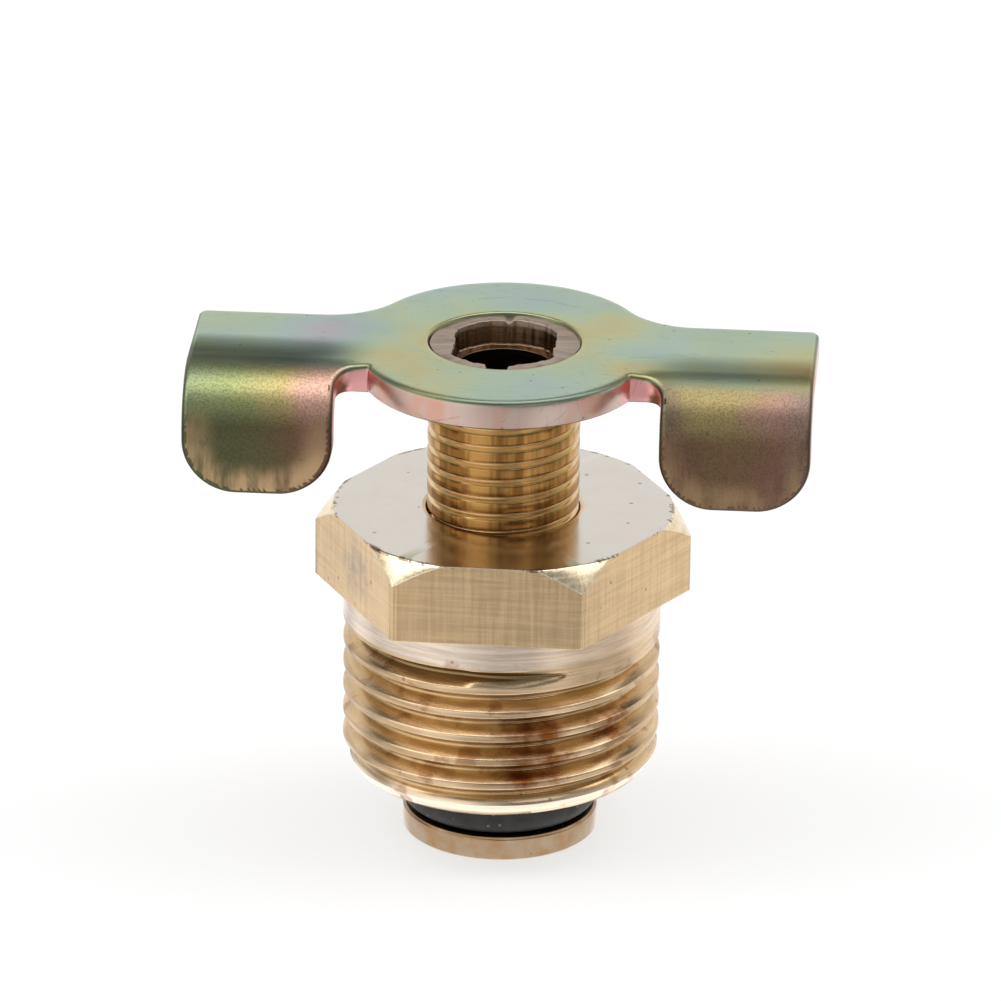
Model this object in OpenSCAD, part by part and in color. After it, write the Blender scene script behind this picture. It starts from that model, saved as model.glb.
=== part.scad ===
// Tank drain valve, closed as it is stored. A hexagon body screws into the tank's drain port. A hollow
// stem with a valve disc on its foot runs through the body on a thread, and its O-ring closes on the
// body's lower end. The wing handle is staked on the stem's top. Turning the handle clockwise runs the
// stem down, and water passes the O-ring, enters the stem's cross ports and leaves at its open top.
// The foot stands on z = 0, the valve's axis is z, the wings lie along x and their tabs face -y.
// Threads are rings of the thread's section at its pitch. The body's inner thread is a plain bore.

/* [Valve body] */
// Width of the hexagon across its flats
hex_af = 17; // [16.9:0.1:19]
// Height of the hexagon
hex_h = 4.3; // [3.5:0.1:7]
// Diameter of the round top face that the hexagon's chamfer leaves
hex_face_d = 17.6; // [15:0.1:18]
// Drop of the hexagon's chamfer at its corners
hex_chamfer_h = 1.28; // [0.4:0.02:2]
// Major diameter of the tank thread
tank_thread_d = 16.5; // [14:0.1:16.7]
// Length of the tank thread, from the hexagon to the body's lower end
tank_thread_h = 9.85; // [8:0.05:16]
// Diameter of the tank thread's leading end
tank_lead_d = 15.4; // [12:0.1:15.8]
// Height of the tank thread's lead chamfer
tank_lead_h = 1.1; // [0.3:0.1:2]
// Pitch of the tank thread, 19 turns to the inch
tank_pitch = 1.337; // [1.2:0.001:1.5]
// Depth of the tank thread
tank_groove = 0.76; // [0.4:0.02:0.86]
// Width of the flat bottom of the tank thread's grooves
tank_root = 0.2; // [0.1:0.02:0.3]
// Height from the lead chamfer to the tank thread's lowest groove
tank_first = 0.84; // [0.3:0.02:1.2]
// Height of the plain band between the hexagon and the tank thread
tank_band_h = 1.3; // [0.5:0.1:2.5]
// Diameter of the water chamber above the seat
chamber_d = 8.4; // [8.2:0.1:9.4]
// Depth of the water chamber
chamber_h = 5.2; // [4:0.1:7]
// Width of the chamfer that the O-ring closes on
seat_chamfer = 0.3; // [0.1:0.05:0.4]
// Width of the chamfer where the stem comes out of the hexagon
mouth_chamfer = 0.35; // [0.1:0.05:0.6]

/* [Valve stem] */
// Major diameter of the stem's thread
stem_d = 7.9; // [7.7:0.1:8]
// Pitch of the stem's thread, 27 turns to the inch
stem_pitch = 0.94; // [0.9:0.01:1.1]
// Depth of the stem's thread
stem_groove = 0.3; // [0.1:0.02:0.34]
// Width of the flat bottom of the stem thread's grooves
stem_root = 0.06; // [0.04:0.02:0.2]
// Height from the thread's lower end to its lowest groove
stem_first = 0.83; // [0.3:0.01:1.2]
// Radial clearance between the stem and the body
stem_gap = 0.05; // [0.03:0.01:0.1]
// Length of stem between the hexagon and the handle
stem_show = 7.65; // [7:0.05:12]
// Diameter of the neck between the O-ring and the thread
neck_d = 6.8; // [6.4:0.1:7.2]
// Height from the foot to the neck's lower end
neck_from = 3.95; // [3.9:0.05:4.3]
// Height from the foot to the thread's lower end
thread_from = 8.5; // [8.3:0.1:9.5]
// Diameter of the valve disc
disc_d = 10.2; // [9.6:0.1:12]
// Thickness of the valve disc
disc_h = 1.3; // [1:0.05:1.35]
// Width of the small chamfer on the disc's edges
disc_chamfer = 0.12; // [0.05:0.01:0.3]
// Diameter of the drain passage
bore_d = 5; // [3:0.1:5.4]
// Thickness of metal below the drain passage
bore_floor = 4.6; // [3:0.1:5]
// Diameter of the cross ports that let the water in
port_d = 2.8; // [1.5:0.1:3]
// Height of the cross ports above the foot
port_z = 6.4; // [6.2:0.1:6.7]

/* [Staked top] */
// Diameter of the stem's top inside the handle
tang_d = 7.3; // [7:0.1:7.6]
// Gap between the stem's top and the handle's hole
tang_gap = 0.03; // [0.01:0.01:0.06]
// Width of the staked rim that holds the handle down
stake_w = 0.2; // [0.1:0.05:0.25]
// Depth of the stem's top below the handle's face
stake_drop = 0.12; // [0:0.02:0.3]
// Diameter of the mouth of the drain passage
mouth_d = 6.3; // [5.6:0.1:6.5]
// Width of the mouth between its two lips
mouth_w = 5.2; // [4:0.1:5.6]
// Depth of the mouth
mouth_h = 1.3; // [0.5:0.1:2]

/* [O-ring] */
// Thickness of the O-ring's cord
ring_cord = 2.4; // [2:0.05:2.42]
// Inside diameter of the O-ring
ring_inner_d = 5.6; // [5.2:0.1:6.4]
// Clearance between the O-ring and its groove
ring_gap = 0.05; // [0.02:0.01:0.1]

/* [Wing handle] */
// Thickness of the handle's plate
plate_t = 1.5; // [1:0.1:2]
// Length of the handle from wing tip to wing tip
handle_span = 32.2; // [30:0.2:44]
// Width of the handle's oval centre, across the arms' roots
boss_d = 15.8; // [15.4:0.1:16]
// Length of the oval centre from front to back
boss_l = 17; // [16.6:0.1:17.4]
// Diameter of the oval centre's two round ends
boss_end_d = 14.6; // [14.2:0.1:15]
// Distance from the axis to the arms' straight back edge
arm_back = 3; // [2.5:0.1:4]
// Radius of the fillets between the oval centre and the arms
arm_fillet = 4; // [2:0.2:6]
// Radius of the arms' back corners
arm_corner_r = 0.5; // [0.2:0.1:1.5]
// Distance from the axis to the tabs' outer face
tab_face = 6.5; // [6.2:0.1:7.5]
// Distance between the two tabs
tab_gap = 16.7; // [16.5:0.1:18]
// Height of the tabs from the handle's face to their lower edge
tab_drop = 6.4; // [5.6:0.1:6.4]
// Outside radius of the bend between arm and tab
bend_r = 3.3; // [2.2:0.1:3.6]
// Radius of the tabs' lower corners
tab_corner_r = 2.8; // [1:0.1:3]
// Radius of the relief notch beside each tab
notch_r = 0.9; // [0.6:0.1:1.2]
// Distance from the axis to the back of the relief notches
notch_back = 4.1; // [3.8:0.1:4.6]
// Angle of the handle about the stem when the valve is closed
handle_turn = 1.2; // [-5:0.1:5]

/* [Hidden] */
$fn = 96;
// Overlap of cutters past a face
cut = 1;
hex_corner_d = hex_af / cos(30);
// Drop of the hexagon's chamfer cone for each millimetre of radius
cone_slope = 2 * hex_chamfer_h / (hex_corner_d - hex_face_d);
// The O-ring lies on the disc, and the body closes on it with the same clearance above
body_z = disc_h + ring_cord + 2 * ring_gap;
hex_z = body_z + tank_thread_h;
hex_top = hex_z + hex_h;
plate_z = hex_top + stem_show;
plate_top = plate_z + plate_t;
stem_top = plate_top - stake_drop;
body_bore_d = stem_d + 2 * stem_gap;
ring_z = disc_h + ring_gap + ring_cord / 2;
groove_d = ring_inner_d - 2 * ring_gap;
// Lead chamfer of the stem's thread, down to the neck
thread_lead_h = (stem_d - neck_d) / 2;
hole_d = tang_d + 2 * tang_gap;
stake_z = stem_top - stake_w;
mouth_z = stem_top - mouth_h;
bend_y = tab_face - bend_r;
tab_z = plate_top - tab_drop;
tab_w = (handle_span - tab_gap) / 2;
notch_x = tab_gap / 2 - notch_r;
notch_y = notch_back + notch_r;
// Distance from the axis to the centres of the oval's round ends
end_y = (boss_l - boss_end_d) / 2;
// Depth to which a fillet cuts into the oval, so that their two arcs cross and don't only touch
fillet_bite = 0.004;
// Centre of the fillet that leads from the oval's back end to the arm's back edge
fillet_y = arm_back + arm_fillet;
fillet_x = sqrt(pow(boss_end_d / 2 + arm_fillet - fillet_bite, 2) - pow(fillet_y - end_y, 2));
// Reach of the plate's front edge past the back of the relief notches, which then cut it
notch_lip = 0.15;
// Angle between the two flanks of a thread groove
flank_angle = 55;

// Outline points, upwards, of the thread grooves that fit between two heights
function grooves(r, depth, root, pitch, from, to) =
    let(
        flank = depth * tan(flank_angle / 2),
        mouth = 2 * flank + root,
        count = floor((to - from - mouth) / pitch)
    )
    [
        for (turn = [0 : count])
            let(z = from + turn * pitch)
                each [[r, z], [r - depth, z + flank], [r - depth, z + flank + root], [r, z + mouth]]
    ];

// Tank thread with its lead chamfer at the lower end and a plain band at the upper end
module tank_thread() {
    r = tank_thread_d / 2;
    from = tank_lead_h + tank_first;
    to = tank_thread_h - tank_band_h;
    rotate_extrude()
        polygon([
            [0, 0],
            [tank_lead_d / 2, 0],
            [r, tank_lead_h],
            each grooves(r, tank_groove, tank_root, tank_pitch, from, to),
            [r, tank_thread_h + hex_h / 2],
            [0, tank_thread_h + hex_h / 2]
        ]);
}

module hexagon() {
    intersection() {
        cylinder(d = hex_corner_d, h = hex_h, $fn = 6);
        // Cone that turns the corners down to the round top face
        rotate_extrude()
            polygon([
                [0, 0],
                [hex_corner_d / 2 + cut, 0],
                [hex_corner_d / 2 + cut, hex_h - hex_chamfer_h - cut * cone_slope],
                [hex_face_d / 2, hex_h],
                [0, hex_h]
            ]);
    }
}

// Everything that is bored out of the body: the threaded bore, the chamber and the two chamfers
module body_bore() {
    rotate_extrude()
        polygon([
            [0, body_z - cut],
            [chamber_d / 2 + seat_chamfer, body_z - cut],
            [chamber_d / 2 + seat_chamfer, body_z],
            [chamber_d / 2, body_z + seat_chamfer],
            [chamber_d / 2, body_z + chamber_h],
            [body_bore_d / 2, body_z + chamber_h],
            [body_bore_d / 2, hex_top - mouth_chamfer],
            [body_bore_d / 2 + mouth_chamfer, hex_top],
            [body_bore_d / 2 + mouth_chamfer, hex_top + cut],
            [0, hex_top + cut]
        ]);
}

module valve_body() {
    color("burlywood")
        difference() {
            union() {
                translate([0, 0, body_z])
                    tank_thread();
                translate([0, 0, hex_z])
                    hexagon();
            }
            body_bore();
        }
}

// Stem's outline from the foot up to the shoulder that carries the handle
module stem_turning() {
    r = stem_d / 2;
    from = thread_from + stem_first;
    rotate_extrude()
        polygon([
            [0, 0],
            [disc_d / 2 - disc_chamfer, 0],
            [disc_d / 2, disc_chamfer],
            [disc_d / 2, disc_h - disc_chamfer],
            [disc_d / 2 - disc_chamfer, disc_h],
            [groove_d / 2, disc_h],
            [groove_d / 2, neck_from],
            [neck_d / 2, neck_from],
            [neck_d / 2, thread_from - thread_lead_h],
            [r, thread_from],
            each grooves(r, stem_groove, stem_root, stem_pitch, from, plate_z),
            [r, plate_z],
            [0, plate_z]
        ]);
}

// Round top that passes through the handle, with its rim staked outwards over the hole's edge
module stem_tang() {
    translate([0, 0, plate_z])
        cylinder(d = tang_d, h = stake_z - plate_z);
    translate([0, 0, stake_z])
        cylinder(d1 = tang_d, d2 = tang_d + 2 * stake_w, h = stake_w);
}

module drain_passage() {
    translate([0, 0, bore_floor])
        cylinder(d = bore_d, h = plate_top - bore_floor);
    translate([0, 0, mouth_z])
        linear_extrude(mouth_h + cut)
            intersection() {
                circle(d = mouth_d);
                square([mouth_w, mouth_d + cut], center = true);
            }
    for (turn = [0, 90])
        rotate([0, 90, turn])
            translate([-port_z, 0, 0])
                cylinder(d = port_d, h = stem_d + cut, center = true);
}

module valve_stem() {
    color("peru")
        rotate([0, 0, handle_turn])
            difference() {
                union() {
                    stem_turning();
                    stem_tang();
                }
                drain_passage();
            }
}

module seat_o_ring() {
    color([0.12, 0.12, 0.13])
        translate([0, 0, ring_z])
            rotate_extrude()
                translate([(ring_inner_d + ring_cord) / 2, 0])
                    circle(d = ring_cord);
}

// Plan of the flat part: oval centre, two arms with rounded back corners, and the fillets behind them
module plate_plan() {
    difference() {
        union() {
            circle(d = boss_d);
            for (y = [-end_y, end_y])
                translate([0, y])
                    circle(d = boss_end_d);
            translate([-handle_span / 2, -bend_y])
                square([handle_span, bend_y + arm_back - arm_corner_r]);
            translate([arm_corner_r - handle_span / 2, 0])
                square([handle_span - 2 * arm_corner_r, arm_back]);
            // Strip that reaches forward to the relief notches
            translate([-notch_x, -notch_back - notch_lip])
                square([2 * notch_x, notch_back + notch_lip]);
            for (side = [-1, 1]) {
                translate([side * (handle_span / 2 - arm_corner_r), arm_back - arm_corner_r])
                    circle(r = arm_corner_r);
                // Corner that the fillet then hollows out, up to the line between the two arcs' centres
                polygon([[0, 0], [0, end_y], [side * fillet_x, fillet_y], [side * fillet_x, 0]]);
            }
        }
        for (side = [-1, 1])
            translate([side * fillet_x, fillet_y])
                circle(r = arm_fillet);
    }
}

// Side view of the bend: the arm's flat, a quarter turn and the straight tab, with y as x and z as y
module bend_profile() {
    translate([-bend_y, plate_z])
        square([bend_y, plate_t]);
    intersection() {
        difference() {
            translate([-bend_y, plate_top - bend_r])
                circle(r = bend_r);
            translate([-bend_y, plate_top - bend_r])
                circle(r = bend_r - plate_t);
        }
        translate([-tab_face, plate_top - bend_r])
            square(bend_r);
    }
    translate([-tab_face, tab_z])
        square([plate_t, plate_top - bend_r - tab_z]);
}

// Front view of one side: the tab with its rounded lower corners, and the plate's edge beside the notch
module tab_front() {
    translate([notch_x, plate_z])
        square([handle_span / 2 - notch_x, plate_t]);
    translate([tab_gap / 2, tab_z + tab_corner_r])
        square([tab_w, plate_top - tab_z - tab_corner_r]);
    translate([tab_gap / 2 + tab_corner_r, tab_z])
        square([tab_w - 2 * tab_corner_r, tab_drop]);
    for (x = [tab_gap / 2 + tab_corner_r, handle_span / 2 - tab_corner_r])
        translate([x, tab_z + tab_corner_r])
            circle(r = tab_corner_r);
}

module right_tab() {
    intersection() {
        translate([notch_x, 0, 0])
            rotate([90, 0, 90])
                linear_extrude(handle_span / 2 - notch_x)
                    bend_profile();
        rotate([90, 0, 0])
            linear_extrude(tab_face + cut)
                tab_front();
    }
}

// Notch that keeps the bend from tearing the oval centre
module right_notch() {
    translate([notch_x, -notch_y, plate_z - cut])
        cylinder(r = notch_r, h = plate_t + 2 * cut);
    translate([notch_x - notch_r, -tab_face - cut, plate_z - cut])
        cube([2 * notch_r, tab_face + cut - notch_y, plate_t + 2 * cut]);
}

// Hole for the stem's top, opened at the face for the staked rim
module handle_hole() {
    translate([0, 0, plate_z - cut])
        cylinder(d = hole_d, h = plate_t + 2 * cut);
    translate([0, 0, stake_z])
        cylinder(d1 = hole_d, d2 = hole_d + 2 * (plate_top - stake_z), h = plate_top - stake_z);
}

module wing_handle() {
    color("darkseagreen")
        rotate([0, 0, handle_turn])
            difference() {
                union() {
                    translate([0, 0, plate_z])
                        linear_extrude(plate_t)
                            plate_plan();
                    right_tab();
                    mirror([1, 0, 0])
                        right_tab();
                }
                right_notch();
                mirror([1, 0, 0])
                    right_notch();
                handle_hole();
            }
}

valve_body();
valve_stem();
seat_o_ring();
wing_handle();
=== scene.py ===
"""The finished look of a tank drain valve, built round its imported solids.

Four pieces stand for the four solids: the hexagon body with its pipe thread, the hollow screw stem, the
seat's O-ring and the bent wing handle. Sizes are in millimetres, and meshes are written in metres.
"""

import logging
import math
from dataclasses import dataclass, field
from enum import Enum

import bmesh
import bpy
import numpy as np
from mathutils import Matrix, Vector


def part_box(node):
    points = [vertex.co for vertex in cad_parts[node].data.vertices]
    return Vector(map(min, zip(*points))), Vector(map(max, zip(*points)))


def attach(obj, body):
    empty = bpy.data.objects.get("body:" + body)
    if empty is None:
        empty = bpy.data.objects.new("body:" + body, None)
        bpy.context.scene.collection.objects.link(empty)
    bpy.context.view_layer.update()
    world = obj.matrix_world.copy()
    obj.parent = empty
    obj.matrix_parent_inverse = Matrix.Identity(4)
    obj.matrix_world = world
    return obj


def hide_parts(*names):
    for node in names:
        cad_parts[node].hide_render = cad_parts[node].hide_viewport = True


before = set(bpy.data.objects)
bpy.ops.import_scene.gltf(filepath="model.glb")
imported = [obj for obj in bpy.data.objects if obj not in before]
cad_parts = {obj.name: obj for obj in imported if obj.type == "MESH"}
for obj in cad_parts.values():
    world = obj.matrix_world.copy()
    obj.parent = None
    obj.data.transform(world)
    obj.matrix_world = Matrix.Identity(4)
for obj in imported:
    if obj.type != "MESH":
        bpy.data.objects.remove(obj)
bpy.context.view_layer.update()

METRES = 0.001
# Sizes in millimetres that two pieces, or a piece and its finish, share
HEX_H = 4.3
FACE_R = 8.8
PLATE_T = 1.5
HANDLE_SPAN = 32.2
HANDLE_TURN = 1.2
# Points closer than this, in millimetres, are one point
WELD = 0.002
# Steps round a turned piece, and the share of a leg that a rounded corner may take
TURN_STEPS = 240
LEG_SHARE = 0.45
LOG = logging.getLogger("drain_valve")

Array = np.ndarray
Socket = bpy.types.NodeSocket
Colour = tuple[float, float, float, float]
Triple = tuple[float, float, float]
Waves = tuple[tuple[int, float, float], ...]
Stops = tuple[tuple[float, float], ...]


class Body(Enum):
    """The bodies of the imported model, which the pieces ride on."""

    VALVE_BODY = "valve_body"
    SEAL = "seal"
    STEM = "stem_assembly"


@dataclass(frozen=True)
class Levels:
    """Heights and radii in millimetres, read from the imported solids' boxes."""

    body_end: float
    hex_top: float
    hex_flat: float
    disc_r: float
    ring_low: float
    ring_high: float
    ring_r: float
    stem_top: float
    plate_top: float
    tab_end: float

    @classmethod
    def from_frame(cls) -> "Levels":
        """Read the levels from the solids' lowest and highest corners.

        Returns:
            The levels.
        """
        body = [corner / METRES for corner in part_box("valve_body")]
        stem = [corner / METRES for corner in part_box("valve_stem")]
        ring = [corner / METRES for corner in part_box("seat_o_ring")]
        wing = [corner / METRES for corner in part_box("wing_handle")]
        return cls(
            body_end=body[0].z,
            hex_top=body[1].z,
            hex_flat=body[1].y,
            disc_r=stem[1].x,
            ring_low=ring[0].z,
            ring_high=ring[1].z,
            ring_r=ring[1].x,
            stem_top=stem[1].z,
            plate_top=wing[1].z,
            tab_end=wing[0].z,
        )

    @property
    def hex_low(self) -> float:
        """Height of the hexagon's underside."""
        return self.hex_top - HEX_H


def ring_angles(count: int, finer: Array | None = None) -> Array:
    """Angles of one full turn, ending where they start.

    Args:
        count: Number of even steps in the turn.
        finer: More angles in degrees, each within the turn.

    Returns:
        Rising angles in radians from 0 to a full turn, both ends included.
    """
    steps = np.linspace(0.0, 360.0, count + 1)
    if finer is not None:
        steps = np.unique(np.round(np.concatenate([steps, np.mod(finer, 360.0)]), 6))
    return np.radians(steps)


def turned(radius: Array, height: Array, angles: Array) -> Array:
    """Points of a turned profile: x is radius times cosine, y is radius times sine, z is height.

    Args:
        radius: Radii, one row for each profile point and one column for each angle, or one a row.
        height: Heights in the same shape.
        angles: Angles in radians.

    Returns:
        An array of rows, columns and x, y, z.
    """
    radius = np.broadcast_to(radius, (len(radius), len(angles)))
    height = np.broadcast_to(height, radius.shape)
    return np.stack([radius * np.cos(angles), radius * np.sin(angles), height], axis=-1)


def softened(rows: Array, widths: Array) -> Array:
    """Round each profile corner with a short three-point curve.

    A corner P between its neighbours becomes A, M and B. A and B lie on the two legs, one width from P, and
    M is a quarter of A, a half of P and a quarter of B. A width never takes more than LEG_SHARE of its leg.

    Args:
        rows: Profile points, an array of rows, columns and x, y, z.
        widths: One width a row. A width of 0 keeps the row as it is.

    Returns:
        The longer array of rows.
    """
    out = [rows[0]]
    for index in range(1, len(rows) - 1):
        corner, width = rows[index], widths[index]
        if width <= 0:
            out.append(corner)
            continue
        ends = []
        for neighbour in (rows[index - 1], rows[index + 1]):
            leg = neighbour - corner
            length = np.maximum(np.linalg.norm(leg, axis=-1, keepdims=True), 1e-9)
            ends.append(corner + leg / length * np.minimum(width, LEG_SHARE * length))
        out += [ends[0], 0.25 * ends[0] + 0.5 * corner + 0.25 * ends[1], ends[1]]
    out.append(rows[-1])
    return np.stack(out)


def profile(points: list[tuple[float | Array, float | Array, float]], angles: Array) -> Array:
    """Turn a profile and round its corners.

    Args:
        points: Radius, height and rounding of each point. The first two may change round the turn.
        angles: Angles in radians.

    Returns:
        An array of rows, columns and x, y, z.
    """
    radius, height = (np.stack([np.broadcast_to(point[axis], angles.shape) for point in points])
                      for axis in (0, 1))
    return softened(turned(radius, height, angles), np.array([width for _, _, width in points]))


def sheet_faces(rows: int, columns: int, start: int = 0) -> Array:
    """Quads of a grid whose points are numbered along its rows.

    Args:
        rows: Number of point rows.
        columns: Number of points in a row.
        start: Number of the first point.

    Returns:
        One line of four point numbers for each quad.
    """
    index = start + np.arange(rows * columns).reshape(rows, columns)
    corners = [index[:-1, :-1], index[:-1, 1:], index[1:, 1:], index[1:, :-1]]
    return np.stack(corners, axis=-1).reshape(-1, 4)


@dataclass
class SheetSet:
    """Grids of points that are joined into one closed mesh."""

    names: tuple[str, ...] = ()
    points: list[Array] = field(default_factory=list)
    quads: list[Array] = field(default_factory=list)
    marks: list[Array] = field(default_factory=list)
    count: int = 0

    def add(self, grid: Array, **marks: float | Array) -> None:
        """Add one grid.

        Args:
            grid: Rows, columns and x, y, z in millimetres.
            **marks: Values of the named attributes, one number or one for each point, or 0 if not given.
        """
        rows, columns = grid.shape[:2]
        self.points.append(grid.reshape(-1, 3))
        self.quads.append(sheet_faces(rows, columns, self.count))
        values = [np.broadcast_to(marks.get(name, 0.0), (rows, columns)).ravel() for name in self.names]
        self.marks.append(np.array(values).reshape(-1, rows * columns))
        self.count += rows * columns

    def piece(self, name: str) -> bpy.types.Object:
        """Join the grids, close their seams and turn the faces outwards.

        Args:
            name: Name of the new object.

        Returns:
            The object, at the origin with its place in its mesh.
        """
        mesh = bpy.data.meshes.new(name)
        points = np.concatenate(self.points) * METRES
        mesh.from_pydata(points.tolist(), [], np.concatenate(self.quads).tolist())
        for mark, values in zip(self.names, np.concatenate(self.marks, axis=1)):
            attribute = mesh.attributes.new(mark, "FLOAT", "POINT")
            attribute.data.foreach_set("value", values.astype(np.float32))
        work = bmesh.new()
        work.from_mesh(mesh)
        bmesh.ops.remove_doubles(work, verts=work.verts, dist=WELD * METRES)
        bmesh.ops.recalc_face_normals(work, faces=work.faces)
        work.to_mesh(mesh)
        work.free()
        mesh.shade_smooth()
        made = bpy.data.objects.new(name, mesh)
        bpy.context.scene.collection.objects.link(made)
        return made


def even_shading(piece: bpy.types.Object) -> None:
    """Let large faces set the shading, so that only the rounded edges curve.

    Args:
        piece: The object.
    """
    modifier = piece.modifiers.new("even_shading", "WEIGHTED_NORMAL")
    modifier.mode = "FACE_AREA"
    modifier.weight = 50
    modifier.keep_sharp = True


@dataclass(frozen=True)
class Thread:
    """A one-start right-hand screw thread."""

    major_r: float
    pitch: float
    depth: float
    crest: float
    root: float
    rounding: float
    start: float
    last: float

    def section(self) -> tuple[Array, Array]:
        """Work out the thread's section over one pitch.

        The section is a crest flat, a straight flank down, a root flat and a straight flank up, with its
        four corners rounded.

        Returns:
            Shares of the pitch from 0 to 1, and the depth below the crest at each.
        """
        flank = (1.0 - self.crest - self.root) / 2
        share = np.array([0.0, self.crest / 2, self.crest / 2 + flank, 1 - self.crest / 2 - flank,
                          1 - self.crest / 2, 1.0])
        depth = np.array([0.0, 0.0, self.depth, self.depth, 0.0, 0.0])
        line = np.stack([depth, share * self.pitch, np.zeros(6)], axis=-1)[:, None, :]
        line = softened(line, np.array([0, 1, 1, 1, 1, 0]) * self.rounding)[:, 0]
        return line[:, 1] / self.pitch, line[:, 0]

    def wall(self, low: float, high: float, angles: Array, lead: tuple[float, float],
             fade: float) -> tuple[Array, Array]:
        """Work out the threaded wall between two heights.

        A point's height is the pitch times its turn, its share of the pitch and its angle over a full turn.
        Points past an end are held at that end, where they close up. The radius is the major radius less the
        section's depth, and it stays inside a lead cone at the low end. The cutter lifts, so that the groove
        gets narrower too, where the groove's middle comes near the height of its end.

        Args:
            low: Height of the lower end.
            high: Height of the upper end.
            angles: Angles of one turn in radians.
            lead: Radius and height of the lead cone at the lower end.
            fade: Rise of the helix over which the last groove runs out.

        Returns:
            Rows from low to high, columns round the turn, and x, y, z; and each point's share of the depth.
        """
        share, depth = self.section()
        turns = np.arange(math.floor((low - self.start) / self.pitch) - 1,
                          math.ceil((high - self.start) / self.pitch) + 1)
        rows = (turns[:, None] + share[None, :-1]).reshape(-1, 1)
        angle = angles[None, :] / (2 * math.pi)
        height = np.clip(self.start + self.pitch * (rows + angle), low, high)
        along = (height - self.start) / self.pitch - angle
        middle = self.start + self.pitch * (np.floor(along) + 0.5 + angle)
        lift = self.depth * (1.0 - np.clip((self.last - middle) / fade, 0.0, 1.0))
        cut = np.maximum(np.interp(np.mod(along, 1.0), share, depth) - lift, 0.0)
        cone = lead[0] + (height - low) * (self.major_r - lead[0]) / lead[1]
        radius = np.minimum(self.major_r - cut, np.maximum(cone, lead[0]))
        return turned(radius, height, angles), cut / self.depth


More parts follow.
